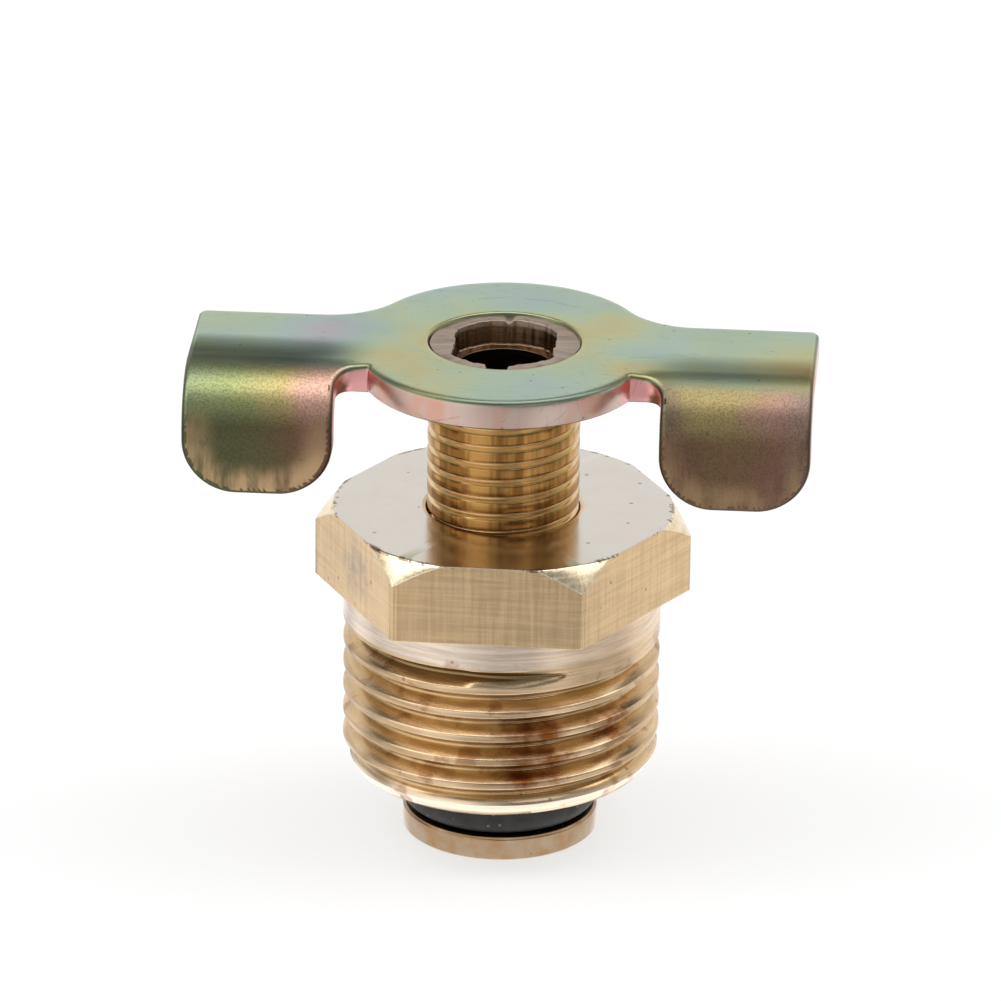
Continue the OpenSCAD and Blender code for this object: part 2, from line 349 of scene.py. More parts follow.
class NodeTree:
    """Short calls for building a shader node tree."""

    def __init__(self, tree: bpy.types.NodeTree) -> None:
        """Start with an empty tree."""
        self.tree = tree
        self.tree.nodes.clear()

    def node(self, kind: str, **settings: object) -> bpy.types.Node:
        """Add a node and set its properties.

        Args:
            kind: Type of the node.
            **settings: Its properties by name.

        Returns:
            The node.
        """
        made = self.tree.nodes.new(kind)
        for key, value in settings.items():
            setattr(made, key, value)
        return made

    def plug(self, source: object, target: Socket) -> None:
        """Link a socket, or set a plain value, on a target socket.

        Args:
            source: A socket or a plain value.
            target: The socket that takes it.
        """
        if isinstance(source, Socket):
            self.tree.links.new(source, target)
        else:
            target.default_value = source

    def math(self, operation: str, first: object, second: object = 0.0) -> Socket:
        """Add a Math node and return its result.

        Args:
            operation: The node's operation.
            first: First value.
            second: Second value.

        Returns:
            The result.
        """
        made = self.node("ShaderNodeMath", operation=operation)
        self.plug(first, made.inputs[0])
        self.plug(second, made.inputs[1])
        return made.outputs[0]

    def product(self, *values: object) -> Socket:
        """Multiply any number of values.

        Args:
            *values: Sockets or numbers.

        Returns:
            Their product.
        """
        result = values[0]
        for value in values[1:]:
            result = self.math("MULTIPLY", result, value)
        return result

    def total(self, *values: object) -> Socket:
        """Add up any number of values.

        Args:
            *values: Sockets or numbers.

        Returns:
            Their sum.
        """
        result = values[0]
        for value in values[1:]:
            result = self.math("ADD", result, value)
        return result

    def blend(self, amount: object, first: object, second: object, kind: str = "MIX") -> Socket:
        """Mix two colours and return the colour.

        Args:
            amount: Share of the second colour.
            first: First colour.
            second: Second colour.
            kind: How they mix.

        Returns:
            The colour.
        """
        made = self.node("ShaderNodeMix", data_type="RGBA", blend_type=kind)
        for key, value in zip(("Factor_Float", "A_Color", "B_Color"), (amount, first, second)):
            self.plug(value, next(socket for socket in made.inputs if socket.identifier == key))
        return next(socket for socket in made.outputs if socket.identifier == "Result_Color")

    def coat(self, colour: object, over: object, *masks: object) -> Socket:
        """Lay a colour over another by the product of masks and amounts."""
        return self.blend(self.product(*masks), colour, over)

    def less(self, mask: object) -> Socket:
        """Return 1 less a mask."""
        return self.math("SUBTRACT", 1.0, mask)

    def span(self, value: object, low: float, high: float, to_low: float = 0.0,
             to_high: float = 1.0) -> Socket:
        """Map a value smoothly from one range to another, and hold it at the ends.

        Args:
            value: The value.
            low: Lower end of its range.
            high: Upper end of its range.
            to_low: Result at the lower end.
            to_high: Result at the upper end.

        Returns:
            The result.
        """
        made = self.node("ShaderNodeMapRange", interpolation_type="SMOOTHSTEP")
        keys = ("Value", "From Min", "From Max", "To Min", "To Max")
        for key, amount in zip(keys, (value, low, high, to_low, to_high)):
            self.plug(amount, made.inputs[key])
        return made.outputs["Result"]

    def slope(self, value: object, low: float, high: float, to_low: float = 0.0,
              to_high: float = 1.0) -> Socket:
        """Map a value in metres smoothly between two places in millimetres."""
        return self.span(value, low * METRES, high * METRES, to_low, to_high)

    def above(self, value: object, level: float, soft: float = 0.05) -> Socket:
        """Mask of the places where a value in metres is over a level in millimetres."""
        return self.slope(value, level - soft, level + soft)

    def under(self, value: object, level: float, soft: float = 0.05) -> Socket:
        """Mask of the places where a value in metres is under a level in millimetres."""
        return self.slope(value, level - soft, level + soft, 1.0, 0.0)

    def between(self, value: object, low: float, high: float, soft: float = 0.05) -> Socket:
        """Mask of the places where a value in metres lies between two levels in millimetres."""
        return self.product(self.above(value, low, soft), self.under(value, high, soft))

    def noise(self, vector: object, scale: object, detail: float = 3.0, rough: float = 0.5) -> Socket:
        """Add a noise texture and return its value.

        Args:
            vector: Coordinates.
            scale: Scale of the pattern.
            detail: Number of octaves.
            rough: Strength of the finer octaves.

        Returns:
            The noise, from 0 to 1.
        """
        made = self.node("ShaderNodeTexNoise")
        for key, value in (("Vector", vector), ("Scale", scale), ("Detail", detail), ("Roughness", rough)):
            self.plug(value, made.inputs[key])
        return made.outputs["Fac"]

    def clouds(self, vector: object, scale: float, low: float, high: float, least: float = 0.0,
               most: float = 1.0, detail: float = 3.0, rough: float = 0.5) -> Socket:
        """Noise stretched between two of its values, from least to most."""
        return self.span(self.noise(vector, scale, detail, rough), low, high, least, most)

    def wobble(self, vector: object, amount: float, scale: float, detail: float = 3.0,
               rough: float = 0.5) -> Socket:
        """Noise that swings about 0, times an amount."""
        noise = self.noise(vector, scale, detail, rough)
        return self.product(self.math("SUBTRACT", noise, 0.5), amount)

    def scaled(self, vector: object, scale: Triple, turn: Triple = (0.0, 0.0, 0.0)) -> Socket:
        """Turn a vector by angles in degrees, stretch it and return it.

        Args:
            vector: Coordinates.
            scale: Factors along x, y and z.
            turn: Angles in degrees.

        Returns:
            The stretched coordinates.
        """
        turned_first = self.node("ShaderNodeMapping")
        self.plug(vector, turned_first.inputs["Vector"])
        turned_first.inputs["Rotation"].default_value = [math.radians(angle) for angle in turn]
        made = self.node("ShaderNodeMapping")
        self.plug(turned_first.outputs["Vector"], made.inputs["Vector"])
        made.inputs["Scale"].default_value = scale
        return made.outputs["Vector"]

    def place(self) -> Socket:
        """Return the Object coordinates, in metres."""
        return self.node("ShaderNodeTexCoord").outputs["Object"]

    def axes(self, vector: object) -> tuple[Socket, Socket, Socket]:
        """Split a vector into x, y and z.

        Args:
            vector: Coordinates.

        Returns:
            The three sockets.
        """
        made = self.node("ShaderNodeSeparateXYZ")
        self.plug(vector, made.inputs[0])
        return made.outputs[0], made.outputs[1], made.outputs[2]

    def radius(self, x: object, y: object) -> Socket:
        """Distance from the z axis."""
        squares = self.math("ADD", self.product(x, x), self.product(y, y))
        return self.math("SQRT", squares)

    def distance(self, vector: object, point: Triple) -> Socket:
        """Distance in metres from a point given in millimetres.

        Args:
            vector: Coordinates in metres.
            point: The point in millimetres.

        Returns:
            The distance in metres.
        """
        made = self.node("ShaderNodeVectorMath", operation="DISTANCE")
        self.plug(vector, made.inputs[0])
        made.inputs[1].default_value = [value * METRES for value in point]
        return made.outputs["Value"]

    def patch(self, reach: object, radius: float, top: float = 1.0) -> Socket:
        """Mask that falls from top at a distance of 0 to 0 at a radius in millimetres."""
        return self.slope(reach, 0.0, radius, top, 0.0)

    def ramp(self, value: object, stops: tuple[tuple[float, Colour], ...]) -> Socket:
        """Add a colour ramp and return its colour.

        Args:
            value: Place on the ramp.
            stops: Places and colours, in rising order.

        Returns:
            The colour.
        """
        made = self.node("ShaderNodeValToRGB")
        self.plug(value, made.inputs[0])
        elements = made.color_ramp.elements
        elements[0].position, elements[0].color = stops[0]
        elements[1].position, elements[1].color = stops[-1]
        for position, colour in stops[1:-1]:
            elements.new(position).color = colour
        return made.outputs["Color"]

    def mark(self, name: str) -> Socket:
        """Value of a named attribute of the mesh."""
        return self.node("ShaderNodeAttribute", attribute_name=name).outputs["Fac"]

    def emission(self, colour: object, strength: object) -> Socket:
        """Add an emission shader.

        Args:
            colour: Colour of the light.
            strength: Its strength.

        Returns:
            The shader.
        """
        made = self.node("ShaderNodeEmission")
        self.plug(colour, made.inputs["Color"])
        self.plug(strength, made.inputs["Strength"])
        return made.outputs[0]

    def mix_shader(self, amount: object, first: Socket, second: Socket) -> Socket:
        """Mix two shaders.

        Args:
            amount: Share of the second shader.
            first: First shader.
            second: Second shader.

        Returns:
            The shader.
        """
        made = self.node("ShaderNodeMixShader")
        for source, target in zip((amount, first, second), made.inputs):
            self.plug(source, target)
        return made.outputs[0]


@dataclass(frozen=True)
class GroupSocket:
    """One named input or output of a shader group."""

    name: str
    value: float | None = None
    kind: str = "NodeSocketFloat"


def group_inputs(**values: float) -> tuple[GroupSocket, ...]:
    """A vector input and inputs with the given names and values."""
    return (GroupSocket("Vector", None, "NodeSocketVector"),
            *(GroupSocket(name, value) for name, value in values.items()))


class EffectGroups:
    """Shader effects that several finishes share, each built once as a node group."""

    def __init__(self) -> None:
        """Build the groups."""
        self.grain = self._grain()
        self.patches = self._patches()
        self.specks = self._specks()
        self.scratches = self._scratches()

    @staticmethod
    def _group(name: str, inputs: tuple[GroupSocket, ...],
               output: str) -> tuple[bpy.types.NodeTree, NodeTree, dict[str, Socket], Socket]:
        """Make an empty group with named sockets.

        Args:
            name: Name of the group.
            inputs: Its inputs.
            output: Name of its only output, a value.

        Returns:
            The group, the helper that fills it, its inputs by name and the socket of its output.
        """
        tree = bpy.data.node_groups.new(name, "ShaderNodeTree")
        nodes = NodeTree(tree)
        for wanted in inputs:
            socket = tree.interface.new_socket(wanted.name, in_out="INPUT", socket_type=wanted.kind)
            if wanted.value is not None:
                socket.default_value = wanted.value
        tree.interface.new_socket(output, in_out="OUTPUT", socket_type="NodeSocketFloat")
        given, made = nodes.node("NodeGroupInput"), nodes.node("NodeGroupOutput")
        outputs = {wanted.name: given.outputs[wanted.name] for wanted in inputs}
        return tree, nodes, outputs, made.inputs[output]

    def _grain(self) -> bpy.types.NodeTree:
        """Fine tool marks: noise on a vector that the material stretches along the cut.

        Returns:
            The group.
        """
        tree, nodes, given, out = self._group("tool_marks", group_inputs(Scale=1.0), "Height")
        nodes.plug(nodes.noise(given["Vector"], given["Scale"], detail=4.0, rough=0.65), out)
        return tree

    def _patches(self) -> bpy.types.NodeTree:
        """Soft-edged patches, such as tarnish: noise cut off at a level.

        Returns:
            The group.
        """
        inputs = group_inputs(Scale=200.0, Level=0.5, Softness=0.1)
        tree, nodes, given, out = self._group("soft_patches", inputs, "Mask")
        texture = nodes.noise(given["Vector"], given["Scale"], detail=5.0)
        high = nodes.math("ADD", given["Level"], given["Softness"])
        nodes.plug(nodes.span(texture, given["Level"], high), out)
        return tree

    def _specks(self) -> bpy.types.NodeTree:
        """Small round specks and pits: the middles of a share of a Voronoi pattern's cells.

        Returns:
            The group.
        """
        inputs = group_inputs(Scale=1500.0, Size=0.12, Amount=0.5)
        tree, nodes, given, out = self._group("specks", inputs, "Mask")
        cells = nodes.node("ShaderNodeTexVoronoi")
        nodes.plug(given["Vector"], cells.inputs["Vector"])
        nodes.plug(given["Scale"], cells.inputs["Scale"])
        near = nodes.math("LESS_THAN", cells.outputs["Distance"], given["Size"])
        kept = nodes.math("LESS_THAN", cells.outputs["Color"], given["Amount"])
        nodes.plug(nodes.product(near, kept), out)
        return tree

    def _scratches(self) -> bpy.types.NodeTree:
        """Fine broken scratches: thin lines where a stretched noise crosses its middle, cut by patches.

        Returns:
            The group.
        """
        inputs = group_inputs(Scale=1.0, Width=0.01, Amount=0.5)
        tree, nodes, given, out = self._group("fine_scratches", inputs, "Mask")
        texture = nodes.noise(given["Vector"], given["Scale"], detail=1.0, rough=0.4)
        off = nodes.math("ABSOLUTE", nodes.math("SUBTRACT", texture, 0.5))
        line = nodes.math("LESS_THAN", off, given["Width"])
        breaks = nodes.noise(given["Vector"], nodes.product(given["Scale"], 2.7), detail=2.0)
        kept = nodes.math("LESS_THAN", breaks, given["Amount"])
        nodes.plug(nodes.product(line, kept), out)
        return tree


def use_group(nodes: NodeTree, group: bpy.types.NodeTree, **values: object) -> Socket:
    """Place a group in a material.

    Args:
        nodes: Helper of the material's tree.
        group: The node group.
        **values: Inputs by name.

    Returns:
        The group's output.
    """
    made = nodes.node("ShaderNodeGroup")
    made.node_tree = group
    for key, value in values.items():
        nodes.plug(value, made.inputs[key])
    return made.outputs[0]


def tool_marks(nodes: NodeTree, groups: EffectGroups, place: Socket, stretch: Triple) -> Socket:
    """Tool marks on a place that is stretched along each axis."""
    return use_group(nodes, groups.grain, Vector=nodes.scaled(place, stretch), Scale=1.0)


@dataclass
class Surface:
    """Sockets that a finish hands to its Principled shader."""

    colour: Socket
    roughness: Socket
    height: Socket


@dataclass(frozen=True)
class Finish:
    """A procedural material. Its roughness is the middle one, and its relief is in millimetres."""

    name: str
    roughness: float
    strength: float
    relief: float
    metallic: float = 1.0

    def surface(self, nodes: NodeTree, groups: EffectGroups, levels: Levels) -> Surface:
        """Build the colour, the roughness and the height of the bumps.

        Args:
            nodes: Helper of the material's tree.
            groups: The shared effects.
            levels: Heights of the solids.

        Returns:
            The sockets of the three.
        """
        raise NotImplementedError

    def cut_roughness(self, nodes: NodeTree, marks: Socket) -> Socket:
        """Roughness of a machined face: a little under the middle one to well over it, by its marks."""
        return nodes.span(marks, 0.3, 0.7, 0.8 * self.roughness, 1.4 * self.roughness)

    def material(self, groups: EffectGroups, levels: Levels) -> bpy.types.Material:
        """Build the material.

        Args:
            groups: The shared effects.
            levels: Heights of the solids.

        Returns:
            The material.
        """
        made = bpy.data.materials.new(self.name)
        made.use_nodes = True
        nodes = NodeTree(made.node_tree)
        surface = self.surface(nodes, groups, levels)
        shader = nodes.node("ShaderNodeBsdfPrincipled")
        bump = nodes.node("ShaderNodeBump")
        output = nodes.node("ShaderNodeOutputMaterial")
        for source, target in (
            (surface.colour, shader.inputs["Base Color"]),
            (surface.roughness, shader.inputs["Roughness"]),
            (self.metallic, shader.inputs["Metallic"]),
            (self.strength, bump.inputs["Strength"]),
            (self.relief * METRES, bump.inputs["Distance"]),
            (surface.height, bump.inputs["Height"]),
            (bump.outputs["Normal"], shader.inputs["Normal"]),
            (shader.outputs["BSDF"], output.inputs["Surface"]),
        ):
            nodes.plug(source, target)
        return made


@dataclass
class BodyPlaces:
    """Sockets of the body's coordinates and of its main areas."""

    place: Socket
    x: Socket
    z: Socket
    out: Socket
    in_hex: Socket
    on_top: Socket


@dataclass(frozen=True)
class BodyBrass(Finish):
    """Brass of the body: peach crests, olive-brown grooves in painted shade, a pale top and cross-hatched
    flats.
    """

    name: str = "tarnished_brass"
    roughness: float = 0.22
    strength: float = 0.35
    relief: float = 0.02
    clean: Colour = (0.78, 0.57, 0.36, 1)
    dull: Colour = (0.62, 0.43, 0.25, 1)
    band: Colour = (0.86, 0.71, 0.58, 1)
    # Painted shade in the thread's grooves
    groove: Colour = (0.60, 0.40, 0.19, 1)
    lead: Colour = (0.95, 0.79, 0.62, 1)
    # Painted shade in the run-out groove under the hexagon
    runout_shade: Colour = (0.16, 0.10, 0.04, 1)
    stain: Colour = (0.24, 0.08, 0.02, 1)
    # Painted highlight on the hexagon's chamfer
    cone: Colour = (0.95, 0.80, 0.56, 1)
    flat: Colour = (0.75, 0.53, 0.30, 1)
    smear: Colour = (0.36, 0.31, 0.26, 1)
    top: Colour = (0.84, 0.78, 0.71, 1)
    pit: Colour = (0.16, 0.10, 0.06, 1)
    spots: tuple[Triple, ...] = (
        (2.0, -7.9, 8.2), (3.2, -7.7, 8.3), (2.1, -7.9, 6.5), (3.1, -7.6, 6.7), (6.4, -5.0, 8.0),
    )
    spot_r: float = 2.0
    smear_at: Triple = (-8.0, -5.0, 15.9)
    smear_r: float = 2.3
    # Radii and heights in millimetres where one area of the body gives way to the next
    shank_r: float = 8.4
    mouth_r: float = 4.2
    band_h: float = 1.5
    runout_h: float = 2.3
    clean_h: float = 1.2
    lead_h: float = 0.9
    rim_r: float = 8.62
    rim_h: float = 0.12
    skin: float = 0.03
    cone_slope: float = 0.793
    cone_skin: float = 0.04
    # How far each kind of tool mark is squeezed along x, y and z
    lathe: Triple = (260, 260, 5200)
    drawn: Triple = (4200, 4200, 200)
    faced: Triple = (900, 900, 900)

    def places(self, nodes: NodeTree, levels: Levels) -> BodyPlaces:
        """Find the hexagon and its top.

        Args:
            nodes: Helper of the material's tree.
            levels: Heights of the solids.

        Returns:
            The sockets.
        """
        place = nodes.place()
        x, y, z = nodes.axes(place)
        out = nodes.radius(x, y)
        in_hex = nodes.product(nodes.above(z, levels.hex_low), nodes.above(out, self.shank_r))
        on_top = nodes.product(nodes.above(z, levels.hex_top - self.skin, soft=0.02),
                               nodes.above(out, self.mouth_r))
        return BodyPlaces(place, x, z, out, in_hex, on_top)

    def threaded(self, nodes: NodeTree, at: BodyPlaces, levels: Levels) -> Socket:
        """Colour the thread: a pale band over it, a paler lead, and painted shade in the olive grooves and
        the dark run-out.

        Args:
            nodes: Helper of the material's tree.
            at: Coordinates and main areas.
            levels: Heights of the solids.

        Returns:
            The colour.
        """
        cloud = nodes.clouds(at.place, scale=240.0, low=0.36, high=0.66)
        colour = nodes.blend(cloud, self.clean, self.dull)
        in_band = nodes.between(at.z, levels.hex_low - self.band_h, levels.hex_low, soft=0.1)
        fading = nodes.slope(at.x, -1.0, 7.0, 1.0, 0.35)
        colour = nodes.coat(colour, self.band, in_band, nodes.under(at.out, self.shank_r), fading)
        colour = nodes.coat(colour, self.lead, nodes.under(at.z, levels.body_end + self.lead_h, soft=0.3))
        # Painted shade: the grooves turn olive-brown by their depth
        depth = nodes.mark("groove_mark")
        olive = nodes.clouds(at.place, scale=420.0, low=0.3, high=0.7, least=0.55, detail=4.0)
        colour = nodes.coat(colour, self.groove, nodes.span(depth, 0.05, 0.6), olive)
        # Painted shade: any groove close under the hexagon turns dark
        ending = nodes.above(at.z, levels.hex_low - self.runout_h, soft=0.25)
        return nodes.coat(colour, self.runout_shade, nodes.span(depth, 0.01, 0.12), ending, 0.75)

    def faceted(self, nodes: NodeTree, at: BodyPlaces, levels: Levels, colour: Socket) -> Socket:
        """Colour the hexagon's flats, and paint a pale highlight on its chamfer, where radius and height add
        up to a cone.

        Args:
            nodes: Helper of the material's tree.
            at: Coordinates and main areas.
            levels: Heights of the solids.
            colour: The colour under it.

        Returns:
            The colour.
        """
        colour = nodes.coat(colour, self.flat, at.in_hex, 0.9)
        # Painted highlight: the chamfer turns pale cream
        slant = nodes.total(at.out, nodes.product(at.z, self.cone_slope))
        edge = FACE_R + self.cone_slope * levels.hex_top - self.cone_skin
        return nodes.coat(colour, self.cone, at.in_hex, nodes.above(slant, edge, soft=0.02), 0.9)

    def stained(self, nodes: NodeTree, groups: EffectGroups, at: BodyPlaces, levels: Levels,
                colour: Socket) -> Socket:
        """Add the thread's stains and the smear on the hexagon's left corner.

        Args:
            nodes: Helper of the material's tree.
            groups: The shared effects.
            at: Coordinates and main areas.
            levels: Heights of the solids.
            colour: The colour under it.

        Returns:
            The colour.
        """
        stains = use_group(nodes, groups.patches, Vector=at.place, Scale=520.0, Level=0.58, Softness=0.09)
        stains = nodes.product(stains, nodes.under(at.z, levels.hex_low - self.clean_h, soft=0.3), 0.5)
        ragged = nodes.wobble(at.place, amount=3.2 * METRES, scale=900.0, detail=5.0, rough=0.65)
        for spot in self.spots:
            reach = nodes.total(nodes.distance(at.place, spot), ragged)
            stains = nodes.math("MAXIMUM", stains, nodes.patch(reach, self.spot_r))
        colour = nodes.coat(colour, self.stain, stains)
        reach = nodes.total(nodes.distance(at.place, self.smear_at), ragged)
        return nodes.coat(colour, self.smear, nodes.patch(reach, self.smear_r))

    def worn(self, nodes: NodeTree, groups: EffectGroups, at: BodyPlaces, levels: Levels,
             colour: Socket) -> Socket:
        """Add the pale top, pits and the dings along the top's rim.

        Args:
            nodes: Helper of the material's tree.
            groups: The shared effects.
            at: Coordinates and main areas.
            levels: Heights of the solids.
            colour: The colour under it.

        Returns:
            The colour.
        """
        wear = nodes.clouds(at.place, scale=700.0, low=0.35, high=0.7, detail=4.0)
        colour = nodes.coat(colour, nodes.coat(self.top, self.clean, wear, 0.12), at.on_top)
        pits = use_group(nodes, groups.specks, Vector=at.place, Scale=1100.0, Size=0.13, Amount=0.30)
        rim = nodes.product(nodes.above(at.z, levels.hex_top - self.rim_h, soft=0.03),
                            nodes.above(at.out, self.rim_r, soft=0.06))
        dents = nodes.clouds(at.place, scale=1100.0, low=0.50, high=0.56, detail=4.0, rough=0.7)
        dings = nodes.product(rim, dents, 0.8)
        return nodes.coat(colour, self.pit, nodes.math("MAXIMUM", nodes.product(pits, 0.5), dings))

    def marks(self, nodes: NodeTree, groups: EffectGroups, at: BodyPlaces) -> Socket:
        """Rings from the lathe, a cross hatch on the flats and an even grain on the top.

        Args:
            nodes: Helper of the material's tree.
            groups: The shared effects.
            at: Coordinates and main areas.

        Returns:
            Height of the marks.
        """
        lathe, drawn, faced = (tool_marks(nodes, groups, at.place, stretch)
                               for stretch in (self.lathe, self.drawn, self.faced))
        hatch = nodes.product(nodes.total(lathe, drawn), 0.5)
        return nodes.total(
            nodes.product(lathe, nodes.less(nodes.math("MAXIMUM", at.in_hex, at.on_top))),
            nodes.product(hatch, at.in_hex, nodes.less(at.on_top)),
            nodes.product(faced, at.on_top, 0.6),
        )

    def surface(self, nodes: NodeTree, groups: EffectGroups, levels: Levels) -> Surface:
        """Lay the colours over each other from the thread to the top, and shade them by the marks.

        Args:
            nodes: Helper of the material's tree.
            groups: The shared effects.
            levels: Heights of the solids.

        Returns:
            Colour, roughness and height.
        """
        at = self.places(nodes, levels)
        colour = self.threaded(nodes, at, levels)
        colour = self.faceted(nodes, at, levels, colour)
        colour = self.stained(nodes, groups, at, levels, colour)
        colour = self.worn(nodes, groups, at, levels, colour)
        marks = self.marks(nodes, groups, at)
        grey = nodes.node("ShaderNodeCombineXYZ")
        shade = nodes.span(marks, 0.35, 0.65, 0.80, 1.12)
        for socket in grey.inputs:
            nodes.plug(shade, socket)
        colour = nodes.blend(1.0, colour, grey.outputs[0], "MULTIPLY")
        return Surface(colour, self.cut_roughness(nodes, marks), marks)


@dataclass(frozen=True)
class StemBrass(Finish):
    """Brass of the stem: golden brown thread, grey-brown staked top, dark bore and a tan disc."""

    name: str = "golden_brass"
    roughness: float = 0.17
    strength: float = 0.3
    relief: float = 0.02
    clean: Colour = (0.53, 0.28, 0.085, 1)
    dull: Colour = (0.28, 0.125, 0.032, 1)
    # A painted highlight: the grooves paler than the thread
    groove: Colour = (0.86, 0.66, 0.40, 1)
    staked: Colour = (0.38, 0.31, 0.26, 1)
    # Painted shade inside the bore; also the colour of the dark specks
    inside: Colour = (0.20, 0.13, 0.08, 1)
    foot: Colour = (0.34, 0.26, 0.18, 1)
    # Radii and heights in millimetres of the staked top, the bore and the foot
    staked_h: float = 0.3
    mouth_r: float = 3.22
    mouth_h: float = 0.2
    bore_low: float = 4.5
    foot_h: float = 3.9
    # How far the streaks and the lathe marks are squeezed along x, y and z
    streaked: Triple = (1500, 1500, 110)
    lathe: Triple = (240, 240, 6000)

    def surface(self, nodes: NodeTree, groups: EffectGroups, levels: Levels) -> Surface:
        """Lay the streaks, the grooves' painted highlight, the foot, the bore's painted shade and the torn
        top over each other.

        Args:
            nodes: Helper of the material's tree.
            groups: The shared effects.
            levels: Heights of the solids.

        Returns:
            Colour, roughness and height.
        """
        place = nodes.place()
        x, y, z = nodes.axes(place)
        staked = nodes.above(z, levels.stem_top - self.staked_h, soft=0.1)
        inside = nodes.product(nodes.under(nodes.radius(x, y), self.mouth_r, soft=0.04),
                               nodes.above(z, self.bore_low), nodes.under(z, levels.stem_top - self.mouth_h))
        squeezed = nodes.scaled(place, self.streaked)
        streaks = nodes.clouds(squeezed, scale=1.0, low=0.36, high=0.62, detail=4.0, rough=0.6)
        colour = nodes.blend(streaks, self.clean, self.dull)
        # Painted highlight: the grooves turn pale
        colour = nodes.coat(colour, self.groove, nodes.span(nodes.mark("groove_mark"), 0.02, 0.25), 0.75)
        tan = nodes.clouds(place, scale=900.0, low=0.3, high=0.7, most=0.6, detail=4.0)
        colour = nodes.coat(colour, nodes.blend(tan, self.foot, self.dull), nodes.under(z, self.foot_h))
        # Painted shade: the bore turns dark brown
        colour = nodes.coat(colour, self.inside, inside)
        torn = nodes.noise(place, scale=2600.0, detail=5.0, rough=0.7)
        bright = nodes.blend(nodes.span(torn, 0.35, 0.65), self.staked, self.clean)
        colour = nodes.coat(colour, nodes.coat(bright, self.staked, 0.75), staked)
        specks = use_group(nodes, groups.specks, Vector=place, Scale=1500.0, Size=0.12, Amount=0.25)
        colour = nodes.coat(colour, self.inside, specks, 0.5)
        lathe = tool_marks(nodes, groups, place, self.lathe)
        marks = nodes.total(nodes.product(lathe, nodes.less(staked)), nodes.product(torn, staked, 3.0))
        rough = nodes.total(self.cut_roughness(nodes, lathe), nodes.product(staked, 0.22),
                            nodes.product(inside, 0.05))
        return Surface(colour, rough, marks)


@dataclass(frozen=True)
class Tint:
    """A patch of the plating where its film is thicker or thinner."""

    place: Triple
    reach: float
    shift: float


@dataclass
class WingPlaces:
    """Sockets of the handle's coordinates, its distance from the middle and its main areas."""

    place: Socket
    x: Socket
    y: Socket
    z: Socket
    away: Socket
    tab: Socket
    grainy: Socket
    grain: Socket


